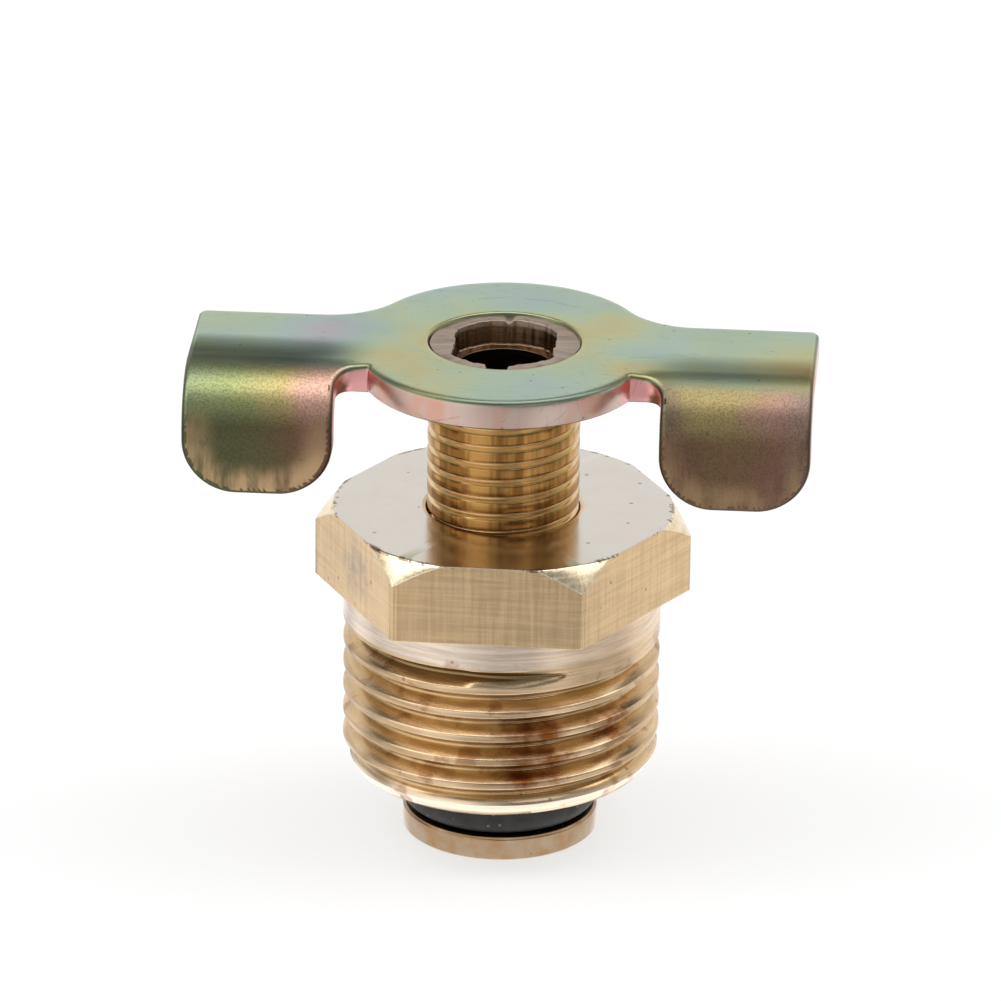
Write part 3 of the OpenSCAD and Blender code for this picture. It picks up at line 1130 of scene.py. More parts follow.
@dataclass(frozen=True)
class ZincFinish(Finish):
    """Yellow zinc plating: a thin film whose tint runs from yellow through green and teal to pink.

    The film's value is a slow noise with a few patches. Bends and tabs are grainy, sheared edges are
    salmon pink, and the tabs have a lighter border.
    """

    name: str = "yellow_zinc"
    roughness: float = 0.27
    strength: float = 0.4
    relief: float = 0.03
    film: tuple[tuple[float, Colour], ...] = (
        (0.00, (0.46, 0.27, 0.13, 1)),
        (0.14, (0.54, 0.43, 0.19, 1)),
        (0.30, (0.50, 0.50, 0.26, 1)),
        (0.48, (0.42, 0.52, 0.36, 1)),
        (0.66, (0.38, 0.49, 0.44, 1)),
        (0.82, (0.43, 0.44, 0.46, 1)),
        (1.00, (0.60, 0.38, 0.36, 1)),
    )
    # Tints of the bends, from the left wing's end at 0 to the right wing's end at 1
    bends: tuple[tuple[float, Colour], ...] = (
        (0.00, (0.30, 0.38, 0.22, 1)),
        (0.09, (0.38, 0.42, 0.18, 1)),
        (0.16, (0.58, 0.46, 0.20, 1)),
        (0.21, (0.74, 0.44, 0.34, 1)),
        (0.50, (0.40, 0.44, 0.28, 1)),
        (0.77, (0.24, 0.18, 0.12, 1)),
        (0.83, (0.40, 0.32, 0.14, 1)),
        (0.88, (0.40, 0.31, 0.14, 1)),
        (0.94, (0.44, 0.26, 0.20, 1)),
        (1.00, (0.30, 0.22, 0.18, 1)),
    )
    tints: tuple[Tint, ...] = (
        Tint((-8.9, 0.6, 27.1), 4.4, 0.21),
        Tint((-14.5, -1.0, 27.1), 3.0, 0.10),
        Tint((-5.6, -3.0, 27.1), 5.0, -0.26),
        Tint((-3.0, -6.6, 27.1), 3.4, -0.18),
        Tint((1.8, -5.6, 27.1), 4.0, 0.16),
        Tint((0.5, 6.6, 27.1), 4.4, 0.16),
        Tint((-2.5, 4.9, 27.1), 3.0, -0.16),
        Tint((5.6, 2.0, 27.1), 3.4, -0.18),
        Tint((7.2, -0.6, 27.1), 2.4, 0.14),
        Tint((15.8, -2.4, 27.0), 5.2, -0.42),
        Tint((7.0, -3.8, 27.0), 2.6, -0.24),
        Tint((12.0, 2.0, 27.1), 3.4, 0.08),
    )
    edge: Colour = (0.72, 0.41, 0.32, 1)
    grey_edge: Colour = (0.68, 0.52, 0.45, 1)
    notch: Colour = (0.86, 0.40, 0.39, 1)
    border: Colour = (0.62, 0.42, 0.23, 1)
    dark: Colour = (0.05, 0.05, 0.035, 1)
    tab_left: Colour = (0.10, 0.095, 0.045, 1)
    tab_right: Colour = (0.175, 0.085, 0.055, 1)
    # Painted shade laid across the arms just before the bends
    shadow: Colour = (0.07, 0.08, 0.045, 1)
    # The film round the hole, from its edge out
    hole_r: float = 3.6
    rim_r: float = 4.9
    rim_shift: float = -0.16
    # Lines in millimetres that part the flat, the bends, the tabs and the painted shade before the bends
    bend_y: float = -4.3
    bend_x: float = 7.7
    grain_x: float = 7.9
    tab_y: float = -6.0
    tab_drop: float = 2.0
    shade_y: tuple[float, float] = (-4.75, -2.3)
    shade_x: float = 8.6
    notch_x: tuple[float, float] = (6.4, 8.5)
    notch_y: float = -3.5
    border_h: tuple[float, float] = (1.4, 3.2)
    # The share of painted shade before the bends, then the arms' dip before the bend and their swell past
    # it, in millimetres, and where each lies
    shaded: float = 0.7
    sag: float = 1.45
    sag_y: tuple[float, float] = (-4.4, -0.6)
    swell: float = 0.4
    swell_y: tuple[float, float] = (-6.4, -4.1)
    arm_x: tuple[float, float] = (5.5, 10.0)
    fade_x: float = 8.0
    # How far streaks, sheen and scratches are squeezed along x, y and z, and the scratches' turns
    streaked: Triple = (1700, 1700, 300)
    sheared: Triple = (600, 600, 200)
    scratched: Triple = (190, 1500, 400)
    scratch_turns: Triple = (8, 24, -15)

    def places(self, nodes: NodeTree, levels: Levels) -> WingPlaces:
        """Find the tabs and the grain of the bends.

        Args:
            nodes: Helper of the material's tree.
            levels: Heights of the solids.

        Returns:
            The sockets.
        """
        place = nodes.place()
        x, y, z = nodes.axes(place)
        away = nodes.math("ABSOLUTE", x)
        tab = nodes.product(nodes.under(y, self.tab_y, soft=0.5),
                            nodes.under(z, levels.plate_top - self.tab_drop, soft=0.9))
        grainy = nodes.product(nodes.under(y, self.bend_y, soft=0.6),
                               nodes.above(away, self.grain_x, soft=0.4))
        grain = nodes.noise(place, scale=9500.0, rough=0.65)
        return WingPlaces(place, x, y, z, away, tab, grainy, grain)

    def plated(self, nodes: NodeTree, at: WingPlaces) -> Socket:
        """Colour the flat by the film's value, which the hole's rim and each tint shift.

        Args:
            nodes: Helper of the material's tree.
            at: Coordinates and main areas.

        Returns:
            The colour.
        """
        slow = nodes.noise(at.place, scale=150.0, detail=4.0, rough=0.55)
        rim = nodes.slope(nodes.radius(at.x, at.y), self.hole_r, self.rim_r, self.rim_shift, 0.0)
        value = nodes.total(nodes.product(slow, 0.9), 0.06, rim)
        ragged = nodes.wobble(at.place, amount=2.2 * METRES, scale=420.0)
        for tint in self.tints:
            reach = nodes.total(nodes.distance(at.place, tint.place), ragged)
            value = nodes.total(value, nodes.patch(reach, tint.reach, tint.shift))
        return nodes.ramp(value, self.film)

    def bent(self, nodes: NodeTree, at: WingPlaces, colour: Socket) -> Socket:
        """Colour the bends by their place along the wings, then the tabs, then a painted shade on the arms
        before the bends.

        Args:
            nodes: Helper of the material's tree.
            at: Coordinates and main areas.
            colour: The colour under it.

        Returns:
            The colour.
        """
        drift = nodes.wobble(at.place, amount=0.16, scale=380.0, detail=4.0)
        along = nodes.total(nodes.product(at.x, 1.0 / (HANDLE_SPAN * METRES)), 0.5, drift)
        colour = nodes.coat(colour, nodes.ramp(along, self.bends), nodes.under(at.y, self.bend_y, soft=0.5),
                            nodes.above(at.away, self.bend_x, soft=0.5))
        shifted = nodes.total(at.x, nodes.product(nodes.noise(at.place, scale=300.0), 4.0 * METRES))
        side = nodes.slope(shifted, -12.0, -6.0)
        colour = nodes.coat(colour, nodes.blend(side, self.tab_left, self.tab_right), at.tab, 0.92)
        # Painted shade: a dark band across the arms before the bends, stronger at the left
        return nodes.coat(colour, self.shadow, nodes.between(at.y, *self.shade_y, soft=1.0),
                          nodes.above(at.away, self.shade_x, soft=2.4),
                          nodes.slope(at.x, -self.fade_x, self.fade_x, self.shaded, 0.5 * self.shaded))

    def bordered(self, nodes: NodeTree, at: WingPlaces, levels: Levels, colour: Socket) -> Socket:
        """Add the dots of the grainy bends and the tabs' lighter, streaked border.

        Args:
            nodes: Helper of the material's tree.
            at: Coordinates and main areas.
            levels: Heights of the solids.
            colour: The colour under it.

        Returns:
            The colour.
        """
        colour = nodes.coat(colour, self.dark, at.grainy, nodes.span(at.grain, 0.44, 0.60), 0.35)
        streaks = nodes.noise(nodes.scaled(at.place, self.streaked), scale=1.0, rough=0.6)
        broken = nodes.span(nodes.total(streaks, nodes.noise(at.place, scale=330.0)), 0.65, 1.15)
        near = nodes.span(nodes.mark("border_mark"), 0.0, 0.8)
        low, high = (levels.tab_end + height for height in self.border_h)
        return nodes.coat(colour, self.border, near, at.tab, broken, nodes.slope(at.z, low, high, 0.95, 0.4),
                          nodes.slope(at.x, -6.0, 6.0, 1.0, 0.6))

    def sheared_edge(self, nodes: NodeTree, at: WingPlaces, colour: Socket) -> Socket:
        """Colour the sheared edges, pinker in the notches, with painted shade on the rounding above them and
        in the hole's flare.

        Args:
            nodes: Helper of the material's tree.
            at: Coordinates and main areas.
            colour: The colour under it.

        Returns:
            The colour.
        """
        edge = nodes.mark("edge_mark")
        sheen = nodes.clouds(nodes.scaled(at.place, self.sheared), scale=1.0, low=0.35, high=0.6)
        shear = nodes.blend(sheen, self.edge, self.grey_edge)
        shear = nodes.coat(shear, self.notch, nodes.between(at.away, *self.notch_x, soft=0.2),
                           nodes.under(at.y, self.notch_y, soft=0.2), 0.85)
        colour = nodes.coat(colour, shear, nodes.span(edge, 0.72, 0.95))
        # Painted shade: a dark line on each edge's rounding, and the hole's flare dark
        lip = nodes.product(nodes.span(edge, 0.15, 0.45), nodes.span(edge, 0.6, 0.9, 1.0, 0.0))
        return nodes.coat(colour, self.dark, lip, 0.7)

    def sagging(self, nodes: NodeTree, at: WingPlaces) -> Socket:
        """Height of the arms' dip before the bend less their swell past it, deeper at the left.

        Args:
            nodes: Helper of the material's tree.
            at: Coordinates and main areas.

        Returns:
            The height, as a share of the relief.
        """
        arm = nodes.slope(at.away, *self.arm_x)
        left = nodes.slope(at.x, -self.fade_x, self.fade_x, 1.0, 0.0)
        fall = nodes.slope(at.y, *self.sag_y, 0.0, self.sag / self.relief)
        lift = nodes.slope(at.y, *self.swell_y, 0.0, self.swell / self.relief)
        return nodes.product(arm, nodes.total(nodes.product(fall, nodes.span(left, 0.0, 1.0, 0.65, 1.0)),
                                              nodes.product(lift, left, -1.0)))

    def surface(self, nodes: NodeTree, groups: EffectGroups, levels: Levels) -> Surface:
        """Lay the film, the bends, the edges, scratches and specks over each other.

        Args:
            nodes: Helper of the material's tree.
            groups: The shared effects.
            levels: Heights of the solids.

        Returns:
            Colour, roughness and height.
        """
        at = self.places(nodes, levels)
        colour = self.bent(nodes, at, self.plated(nodes, at))
        colour = self.sheared_edge(nodes, at, self.bordered(nodes, at, levels, colour))
        lines = nodes.total(*(
            use_group(nodes, groups.scratches, Scale=1.0, Width=0.006, Amount=0.42,
                      Vector=nodes.scaled(at.place, self.scratched, (0, 0, turn)))
            for turn in self.scratch_turns))
        specks = use_group(nodes, groups.specks, Vector=at.place, Scale=1300.0, Size=0.11, Amount=0.25)
        colour = nodes.coat(colour, self.dark, nodes.math("MINIMUM", lines, 1.0), 0.22)
        colour = nodes.coat(colour, self.dark, specks, 0.45)
        height = nodes.total(nodes.product(nodes.noise(at.place, scale=1600.0, detail=4.0), 0.25),
                             self.sagging(nodes, at), nodes.product(at.grain, at.grainy, 0.8),
                             nodes.product(lines, -0.3))
        rough = nodes.total(self.roughness, nodes.product(at.grainy, 0.10),
                            nodes.product(nodes.noise(at.place, scale=350.0), 0.10))
        return Surface(colour, rough, height)


@dataclass(frozen=True)
class RubberFinish(Finish):
    """Black moulded rubber with dust."""

    name: str = "nitrile_rubber"
    roughness: float = 0.5
    strength: float = 0.3
    relief: float = 0.02
    metallic: float = 0.0
    colour: Colour = (0.013, 0.012, 0.011, 1)
    dust: Colour = (0.34, 0.31, 0.27, 1)

    def surface(self, nodes: NodeTree, groups: EffectGroups, levels: Levels) -> Surface:
        """Lay specks and a thin film of dust over the black.

        Args:
            nodes: Helper of the material's tree.
            groups: The shared effects.
            levels: Heights of the solids; not used here.

        Returns:
            Colour, roughness and height.
        """
        place = nodes.place()
        specks = use_group(nodes, groups.specks, Vector=place, Scale=2300.0, Size=0.2, Amount=0.36)
        film = use_group(nodes, groups.patches, Vector=place, Scale=500.0, Level=0.5, Softness=0.25)
        dusty = nodes.total(nodes.product(specks, 0.6), nodes.product(film, 0.06))
        rough = nodes.clouds(place, scale=900.0, low=0.3, high=0.7, least=self.roughness,
                             most=self.roughness + 0.2)
        return Surface(nodes.blend(dusty, self.colour, self.dust), rough, nodes.noise(place, 1800.0, 4.0))


@dataclass
class ValveBody:
    """Hexagon bushing with the tank thread outside and the stem's bore inside."""

    levels: Levels
    finish: BodyBrass = BodyBrass()
    chamfer_drop: float = 1.28
    corner_round: float = 0.18
    lead_r: float = 7.7
    lead_h: float = 1.1
    end_w: float = 0.3
    bore_r: float = 3.98
    mouth: float = 0.05
    chamber_r: float = 4.2
    chamber_h: float = 5.2
    seat: float = 0.3
    thread: Thread = Thread(major_r=8.25, pitch=1.337, depth=0.76, crest=0.24, root=0.15, rounding=0.09,
                            start=0.585, last=11.73)
    fade: float = 0.15
    # Angles in degrees of the extra points on each side of a corner
    corner_points: tuple[float, ...] = (-1.2, -0.9, -0.6, -0.3, 0.3, 0.6, 0.9, 1.2)

    def hexagon_radius(self, angles: Array) -> Array:
        """Radius of a hexagon with rounded corners, with two flats across y.

        On a flat it is the flat's distance over the cosine of the angle from the flat's middle. Near a
        corner it is the far crossing with the corner's circle.

        Args:
            angles: Angles in radians.

        Returns:
            The radius at each angle.
        """
        flat = self.levels.hex_flat
        sixth = math.pi / 3
        from_flat = np.mod(angles, sixth) - sixth / 2
        radius = flat / np.cos(from_flat)
        centre = (flat - self.corner_round) / math.cos(sixth / 2)
        from_corner = sixth / 2 - np.abs(from_flat)
        reach = self.corner_round**2 - (centre * np.sin(from_corner)) ** 2
        rounded = centre * np.cos(from_corner) + np.sqrt(np.maximum(reach, 0.0))
        return np.where(reach > 0, np.minimum(radius, rounded), radius)

    def build(self) -> bpy.types.Object:
        """Build the body as one closed turned surface, with its helix outside.

        Returns:
            The undressed piece.
        """
        levels = self.levels
        finer = (np.arange(6)[:, None] * 60 + np.array(self.corner_points)).ravel()
        angles = ring_angles(TURN_STEPS, finer)
        low, top, end = levels.hex_low, levels.hex_top, levels.body_end
        hexagon = self.hexagon_radius(angles)
        corner_r = levels.hex_flat / math.cos(math.pi / 6)
        slope = self.chamfer_drop / (corner_r - FACE_R)
        face = np.minimum(hexagon, FACE_R)
        rows = profile([
            (self.thread.major_r, low, 0.0),
            (hexagon, low, 0.07),
            (hexagon, top - (hexagon - face) * slope, 0.06),
            (face, top, 0.06),
            (self.bore_r + self.mouth, top, 0.05),
            (self.bore_r, top - self.mouth, 0.05),
            (self.bore_r, end + self.chamber_h, 0.0),
            (self.chamber_r, end + self.chamber_h, 0.0),
            (self.chamber_r, end + self.seat, 0.03),
            (self.chamber_r + self.seat, end, 0.05),
            (self.lead_r - self.end_w, end, 0.0),
        ], angles)
        wall, depth = self.thread.wall(end, low, angles, (self.lead_r, self.lead_h), self.fade)
        plain = np.zeros((len(rows), len(angles)))
        sheets = SheetSet(("groove_mark",))
        sheets.add(np.concatenate([rows[-1:], wall, rows]),
                   groove_mark=np.concatenate([plain[:1], depth, plain]))
        return sheets.piece("valve_body_brass")

    def make(self, groups: EffectGroups) -> bpy.types.Object:
        """Build, dress and place the body.

        Args:
            groups: The shared effects.

        Returns:
            The piece.
        """
        piece = self.build()
        even_shading(piece)
        piece.data.materials.append(self.finish.material(groups, self.levels))
        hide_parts("valve_body")
        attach(piece, Body.VALVE_BODY.value)
        return piece


def waves(angles: Array, terms: Waves) -> Array:
    """Sum of sines round a turn, each given by its count, its phase in radians and its height."""
    return sum(height * np.sin(count * angles + phase) for count, phase, height in terms)


@dataclass
class ValveStem:
    """Hollow screw with the valve disc on its foot and its staked top."""

    levels: Levels
    finish: StemBrass = StemBrass()
    disc_h: float = 1.3
    disc_chamfer: float = 0.12
    groove_r: float = 2.75
    neck_r: float = 3.4
    neck_from: float = 3.95
    thread_from: float = 8.5
    bore_r: float = 2.5
    bore_floor: float = 4.6
    port_r: float = 1.4
    port_z: float = 6.4
    port_steps: int = 48
    tang_r: float = 3.65
    # The staked rim: its width past the tang, its height and least height, and its rolled edge's drop
    stake_w: float = 0.25
    stake_h: float = 0.35
    stake_least: float = 0.12
    roll_drop: float = 0.02
    mouth_r: float = 3.15
    mouth_half: float = 2.6
    mouth_h: float = 1.3
    proud: float = 0.03
    # Breaks in the thin wall: the middle and half the width in degrees, and the depth
    breaks: tuple[Triple, ...] = ((267.5, 11.0, 0.38), (91.5, 4.5, 0.12))
    break_fade: float = 3.0
    thread: Thread = Thread(major_r=3.95, pitch=0.94, depth=0.30, crest=0.62, root=0.06, rounding=0.09,
                            start=0.794, last=30.0)
    fade: float = 1.0
    ragged: Waves = ((7, 0.4, 0.035), (13, 2.1, 0.028), (29, 4.0, 0.02), (47, 1.0, 0.014))
    rolling: Waves = ((3, 1.0, 0.02), (8, 0.2, 0.016), (19, 2.6, 0.01))

    def dips(self, angles: Array) -> Array:
        """Depth of the staked rim below its top: small waves, and the thin wall's breaks.

        Args:
            angles: Angles in radians.

        Returns:
            The depths in millimetres.
        """
        dips = waves(angles, self.rolling) - self.proud
        for middle, half, depth in self.breaks:
            inside = (half - np.abs(np.degrees(angles) - middle)) / self.break_fade
            dips = dips + depth * np.clip(inside, 0.0, 1.0)
        return dips

    def foot(self, angles: Array) -> Array:
        """Turn the disc, the O-ring's groove and the neck, from the foot's centre up to the thread.

        Args:
            angles: Angles in radians.

        Returns:
            Rows from the first point on, columns round the turn, and x, y, z.
        """
        disc_r, chamfer = self.levels.disc_r, self.disc_chamfer
        return profile([
            (0.0, 0.0, 0.0),
            (disc_r - chamfer, 0.0, 0.04),
            (disc_r, chamfer, 0.04),
            (disc_r, self.disc_h - chamfer, 0.04),
            (disc_r - chamfer, self.disc_h, 0.04),
            (self.groove_r, self.disc_h, 0.05),
            (self.groove_r, self.neck_from, 0.05),
            (self.neck_r, self.neck_from, 0.05),
            (self.neck_r, self.thread_low, 0.0),
        ], angles)

    def head(self, angles: Array, plate_z: float) -> Array:
        """Turn the tang, its staked rim, the two-sided mouth and the bore, down to the bore's floor.

        Args:
            angles: Angles in radians.
            plate_z: Height of the plate's underside.

        Returns:
            Rows from the first point on, columns round the turn, and x, y, z.
        """
        stem_top = self.levels.stem_top
        top = stem_top - self.dips(angles)
        around = angles - math.radians(HANDLE_TURN)
        inner = self.mouth_half / np.maximum(np.abs(np.cos(around)), 1e-6)
        mouth = np.minimum(self.mouth_r, inner) + waves(angles, self.ragged)
        rim = self.tang_r + self.stake_w
        rolled = top - self.roll_drop
        mouth_z = stem_top - self.mouth_h
        return profile([
            (self.thread.major_r, plate_z, 0.0),
            (self.tang_r, plate_z, 0.03),
            (self.tang_r, np.minimum(stem_top - self.stake_h, top - self.stake_least), 0.0),
            (rim + waves(angles, self.rolling), rolled, 0.06),
            (rim * 0.6 + mouth * 0.4, rolled + waves(angles, self.ragged) * 0.5, 0.0),
            (mouth, top, 0.07),
            (mouth * 0.98, mouth_z, 0.1),
            (self.bore_r, mouth_z, 0.03),
            (self.bore_r, self.bore_floor, 0.03),
            (0.0, self.bore_floor, 0.0),
        ], angles)

    @property
    def thread_low(self) -> float:
        """Height where the thread's lead cone leaves the neck."""
        return self.thread_from - (self.thread.major_r - self.neck_r)

    def build(self) -> bpy.types.Object:
        """Build the stem as one closed turned surface, from its foot's centre to the end of its bore.

        Returns:
            The undressed piece.
        """
        angles = ring_angles(TURN_STEPS)
        plate_z = self.levels.plate_top - PLATE_T
        low, high = self.foot(angles), self.head(angles, plate_z)
        lead = (self.neck_r, self.thread.major_r - self.neck_r)
        wall, depth = self.thread.wall(self.thread_low, plate_z, angles, lead, self.fade)
        plain_low, plain_high = (np.zeros((len(rows), len(angles))) for rows in (low, high))
        sheets = SheetSet(("groove_mark",))
        sheets.add(np.concatenate([low, wall, high]),
                   groove_mark=np.concatenate([plain_low, depth, plain_high]))
        piece = sheets.piece("valve_stem_brass")
        self.pierce(piece)
        return piece

    def pierce(self, piece: bpy.types.Object) -> None:
        """Cut the two cross ports through the stem's wall, and keep the result as the piece's mesh.

        Args:
            piece: The stem.
        """
        angles = ring_angles(self.port_steps)
        reach = self.thread.major_r + 1.0
        ends = ((0.0, -reach), (self.port_r, -reach), (self.port_r, reach), (0.0, reach))
        across, up, along = np.moveaxis(profile([(*end, 0.0) for end in ends], angles), -1, 0)
        for number, turn in enumerate((HANDLE_TURN, HANDLE_TURN + 90)):
            cos, sin = math.cos(math.radians(turn)), math.sin(math.radians(turn))
            place = [along * cos - across * sin, along * sin + across * cos, up + self.port_z]
            grid = np.stack(place, axis=-1)
            sheets = SheetSet(("groove_mark",))
            sheets.add(grid)
            drill = sheets.piece(f"port_drill_{number}")
            modifier = piece.modifiers.new("port", "BOOLEAN")
            modifier.operation, modifier.solver, modifier.object = "DIFFERENCE", "EXACT", drill
        graph = bpy.context.evaluated_depsgraph_get()
        cut = bpy.data.meshes.new_from_object(piece.evaluated_get(graph), preserve_all_data_layers=True,
                                              depsgraph=graph)
        drills = [modifier.object for modifier in piece.modifiers]
        piece.modifiers.clear()
        piece.data = cut
        for drill in drills:
            bpy.data.objects.remove(drill)

    def make(self, groups: EffectGroups) -> bpy.types.Object:
        """Build, dress and place the stem.

        Args:
            groups: The shared effects.

        Returns:
            The piece.
        """
        piece = self.build()
        even_shading(piece)
        piece.data.materials.append(self.finish.material(groups, self.levels))
        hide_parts("valve_stem")
        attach(piece, Body.STEM.value)
        return piece


@dataclass
class SeatRing:
    """O-ring, a little squarer in section than a circle where it bears on the disc and the seat."""

    levels: Levels
    finish: RubberFinish = RubberFinish()
    power: float = 3.0
    steps: int = 180
    section_steps: int = 64

    def make(self, groups: EffectGroups) -> bpy.types.Object:
        """Build the ring as a section carried round the axis, dress it and place it.

        The section's radius is the cord's over the power mean of the angle's sine and cosine.

        Args:
            groups: The shared effects.

        Returns:
            The piece.
        """
        levels = self.levels
        cord = (levels.ring_high - levels.ring_low) / 2
        angles = ring_angles(self.steps)
        section = np.linspace(0.0, 2 * math.pi, self.section_steps + 1)
        spread = np.abs(np.cos(section)) ** self.power + np.abs(np.sin(section)) ** self.power
        tube = cord / spread ** (1 / self.power)
        radius = levels.ring_r - cord + tube * np.cos(section)
        height = (levels.ring_low + levels.ring_high) / 2 + tube * np.sin(section)
        sheets = SheetSet()
        sheets.add(turned(radius[:, None], height[:, None], angles))
        piece = sheets.piece("seat_ring_rubber")
        piece.data.materials.append(self.finish.material(groups, levels))
        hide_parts("seat_o_ring")
        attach(piece, Body.SEAL.value)
        return piece


def arc(centre: tuple[float, float], radius: float, start: float, end: float, count: int) -> Array:
    """Points of a circular arc.

    Args:
        centre: Centre of the circle.
        radius: Its radius.
        start: First angle in degrees.
        end: Last angle in degrees.
        count: Number of points.

    Returns:
        One line of x, y for each point.
    """
    angle = np.radians(np.linspace(start, end, count))
    return np.stack([centre[0] + radius * np.cos(angle), centre[1] + radius * np.sin(angle)], axis=-1)


def even_points(line: Array, count: int) -> Array:
    """Points at even steps along a polyline, both ends included.

    Args:
        line: The polyline.
        count: Number of points.

    Returns:
        One line of x, y for each point.
    """
    steps = np.concatenate([[0.0], np.cumsum(np.linalg.norm(np.diff(line, axis=0), axis=-1))])
    wanted = np.linspace(0.0, steps[-1], count)
    return np.stack([np.interp(wanted, steps, line[:, 0]), np.interp(wanted, steps, line[:, 1])], axis=-1)


def heading(point: Array, centre: tuple[float, float] = (0.0, 0.0)) -> float:
    """Angle in degrees of a point seen from a centre."""
    return math.degrees(math.atan2(point[1] - centre[1], point[0] - centre[0]))


@dataclass
class WingHandle:
    """Stamped plate with two arms, each with a tab bent down on the -Y side.

    The plate is worked out flat, as a blank. Its x runs along the wings, its s is the distance along the
    plate's middle layer towards the back, and its depth is measured down from the upper face. A bend then
    rolls the front of each arm down.
    """

    levels: Levels
    finish: ZincFinish = ZincFinish()
    end_r: float = 7.3
    end_y: float = 1.2
    arm_back: float = 3.0
    fillet_r: float = 4.0
    arm_corner_r: float = 0.5
    tab_face: float = 6.5
    tab_gap: float = 16.7
    bend_r: float = 3.3
    tab_corner_r: float = 2.8
    notch_r: float = 0.9
    notch_back: float = 4.1
    crease_r: float = 0.15
    blend_w: float = 0.7
    hole_r: float = 3.68
    flare: float = 0.32
    edge: float = 0.3
    border_w: float = 1.7
    # Points along a wing, rows across it and rows of its centre
    wing_points: int = 110
    wing_rows: int = 85
    centre_rows: int = 22
    # Where the border starts on the front line, and where it ends on the outer side
    border_from: int = 24
    border_to: int = 50

    @property
    def bend_y(self) -> float:
        """Distance from the axis to the start of the bend."""
        return self.tab_face - self.bend_r

    @property
    def bend_length(self) -> float:
        """Length of the bend along the plate's middle layer."""
        return (self.bend_r - PLATE_T / 2) * math.pi / 2

    @property
    def blank_end(self) -> float:
        """Flat distance from the axis to the tab's lower edge."""
        straight = self.levels.plate_top - self.bend_r - self.levels.tab_end
        return self.bend_y + self.bend_length + straight

    def bent(self, flat: Array, depth: Array) -> Array:
        """Roll points of the blank into place.

        Before the bend a point keeps its s. In the bend its angle is its distance past the start over the
        middle layer's radius, and it turns about the bend's centre at the outer radius less its depth. Past
        a quarter turn it runs straight down. Between the oval centre and the tab, a smooth share of x mixes
        the unrolled place with the rolled one. The whole handle is then turned a little about the axis.

        Args:
            flat: Points of the blank, the last axis x and s.
            depth: Depth below the upper face.

        Returns:
            Points with x, y, z on the last axis.
        """
        x, s = flat[..., 0], flat[..., 1]
        past = np.maximum(-s - self.bend_y, 0.0)
        angle = np.minimum(past / (self.bend_r - PLATE_T / 2), math.pi / 2)
        straight = np.maximum(past - self.bend_length, 0.0)
        radius = self.bend_r - depth
        y = np.where(past > 0, -self.bend_y - radius * np.sin(angle), s)
        top = self.levels.plate_top
        z = np.where(past > 0, top - self.bend_r + radius * np.cos(angle) - straight, top - depth)
        notch_x = self.tab_gap / 2 - self.notch_r
        share = np.clip((np.abs(x) - notch_x + self.blend_w) / (self.blend_w + self.notch_r), 0.0, 1.0)
        share = share * share * (3 - 2 * share)
        y = s + (y - s) * share
        z = top - depth + (z - top + depth) * share
        cos, sin = math.cos(math.radians(HANDLE_TURN)), math.sin(math.radians(HANDLE_TURN))
        return np.stack([x * cos - y * sin, x * sin + y * cos, z], axis=-1)

    def outlines(self) -> dict[str, Array]:
        """Work out the right half's outline, one edge width inside the true one.

        Returns:
            The centre's outline from its front to its back, the cut between centre and wing, the wing's
            front line and its back line.
        """
        inset = self.edge
        end, fillet = self.end_r - inset, self.fillet_r + inset
        notch_x, notch_y = self.tab_gap / 2 - self.notch_r, self.notch_back + self.notch_r
        notch, notch_r = (notch_x, -notch_y), self.notch_r + inset
        crease_r = self.crease_r + inset
        crease_y = -self.notch_back - self.crease_r
        reach = end + crease_r
        crease = (math.sqrt(reach**2 - (crease_y + self.end_y) ** 2), crease_y)
        meet = heading(crease, (0.0, -self.end_y))
        fillet_y = self.arm_back + self.fillet_r
        fillet_x = math.sqrt((self.end_r + self.fillet_r) ** 2 - (fillet_y - self.end_y) ** 2)
        centre = (fillet_x, fillet_y)
        leave = heading(centre, (0.0, self.end_y))
        cut_front = np.array([notch_x, -notch_y + notch_r])
        cut_back = np.array([notch_x, fillet_y - math.sqrt(fillet**2 - (fillet_x - notch_x) ** 2)])
        steps = np.linspace(0.0, 1.0, self.wing_rows)[:, None]
        cut = cut_front + (cut_back - cut_front) * steps
        tab_in, tab_out = self.tab_gap / 2 + inset, HANDLE_SPAN / 2 - inset
        corner, low = self.tab_corner_r - inset, -self.blank_end + inset
        back, back_corner = self.arm_back - inset, max(self.arm_corner_r - inset, 0.1)
        front_line = np.concatenate([
            arc(notch, notch_r, 90, 0, 24),
            [[tab_in, -notch_y], [tab_in, low + corner]],
            arc((tab_in + corner, low + corner), corner, 180, 270, 40),
            arc((tab_out - corner, low + corner), corner, 270, 360, 40),
        ])
        back_line = np.concatenate([
            arc(centre, fillet, heading(cut_back, centre), -90, 24),
            [[fillet_x, back], [tab_out - back_corner, back]],
            arc((tab_out - back_corner, back - back_corner), back_corner, 90, 0, 8),
        ])
        return {
            "front": np.concatenate([
                arc((0, -self.end_y), end, -90, meet, 60),
                arc(crease, crease_r, meet + 180, 90, 10)[1:],
                [cut_front],
            ]),
            "cut": cut,
            "back": np.concatenate([
                arc(centre, fillet, heading(cut_back, centre), leave - 180, 12),
                arc((0, self.end_y), end, leave, 90, 60)[1:],
            ]),
            "wing_front": even_points(front_line, self.wing_points),
            "wing_back": even_points(back_line, self.wing_points),
        }

    def hole(self, heads: Array, grow: float) -> Array:
        """Points of the round hole at given polar angles, widened by a length."""
        return (self.hole_r + grow) * np.stack([np.cos(heads), np.sin(heads)], axis=-1)

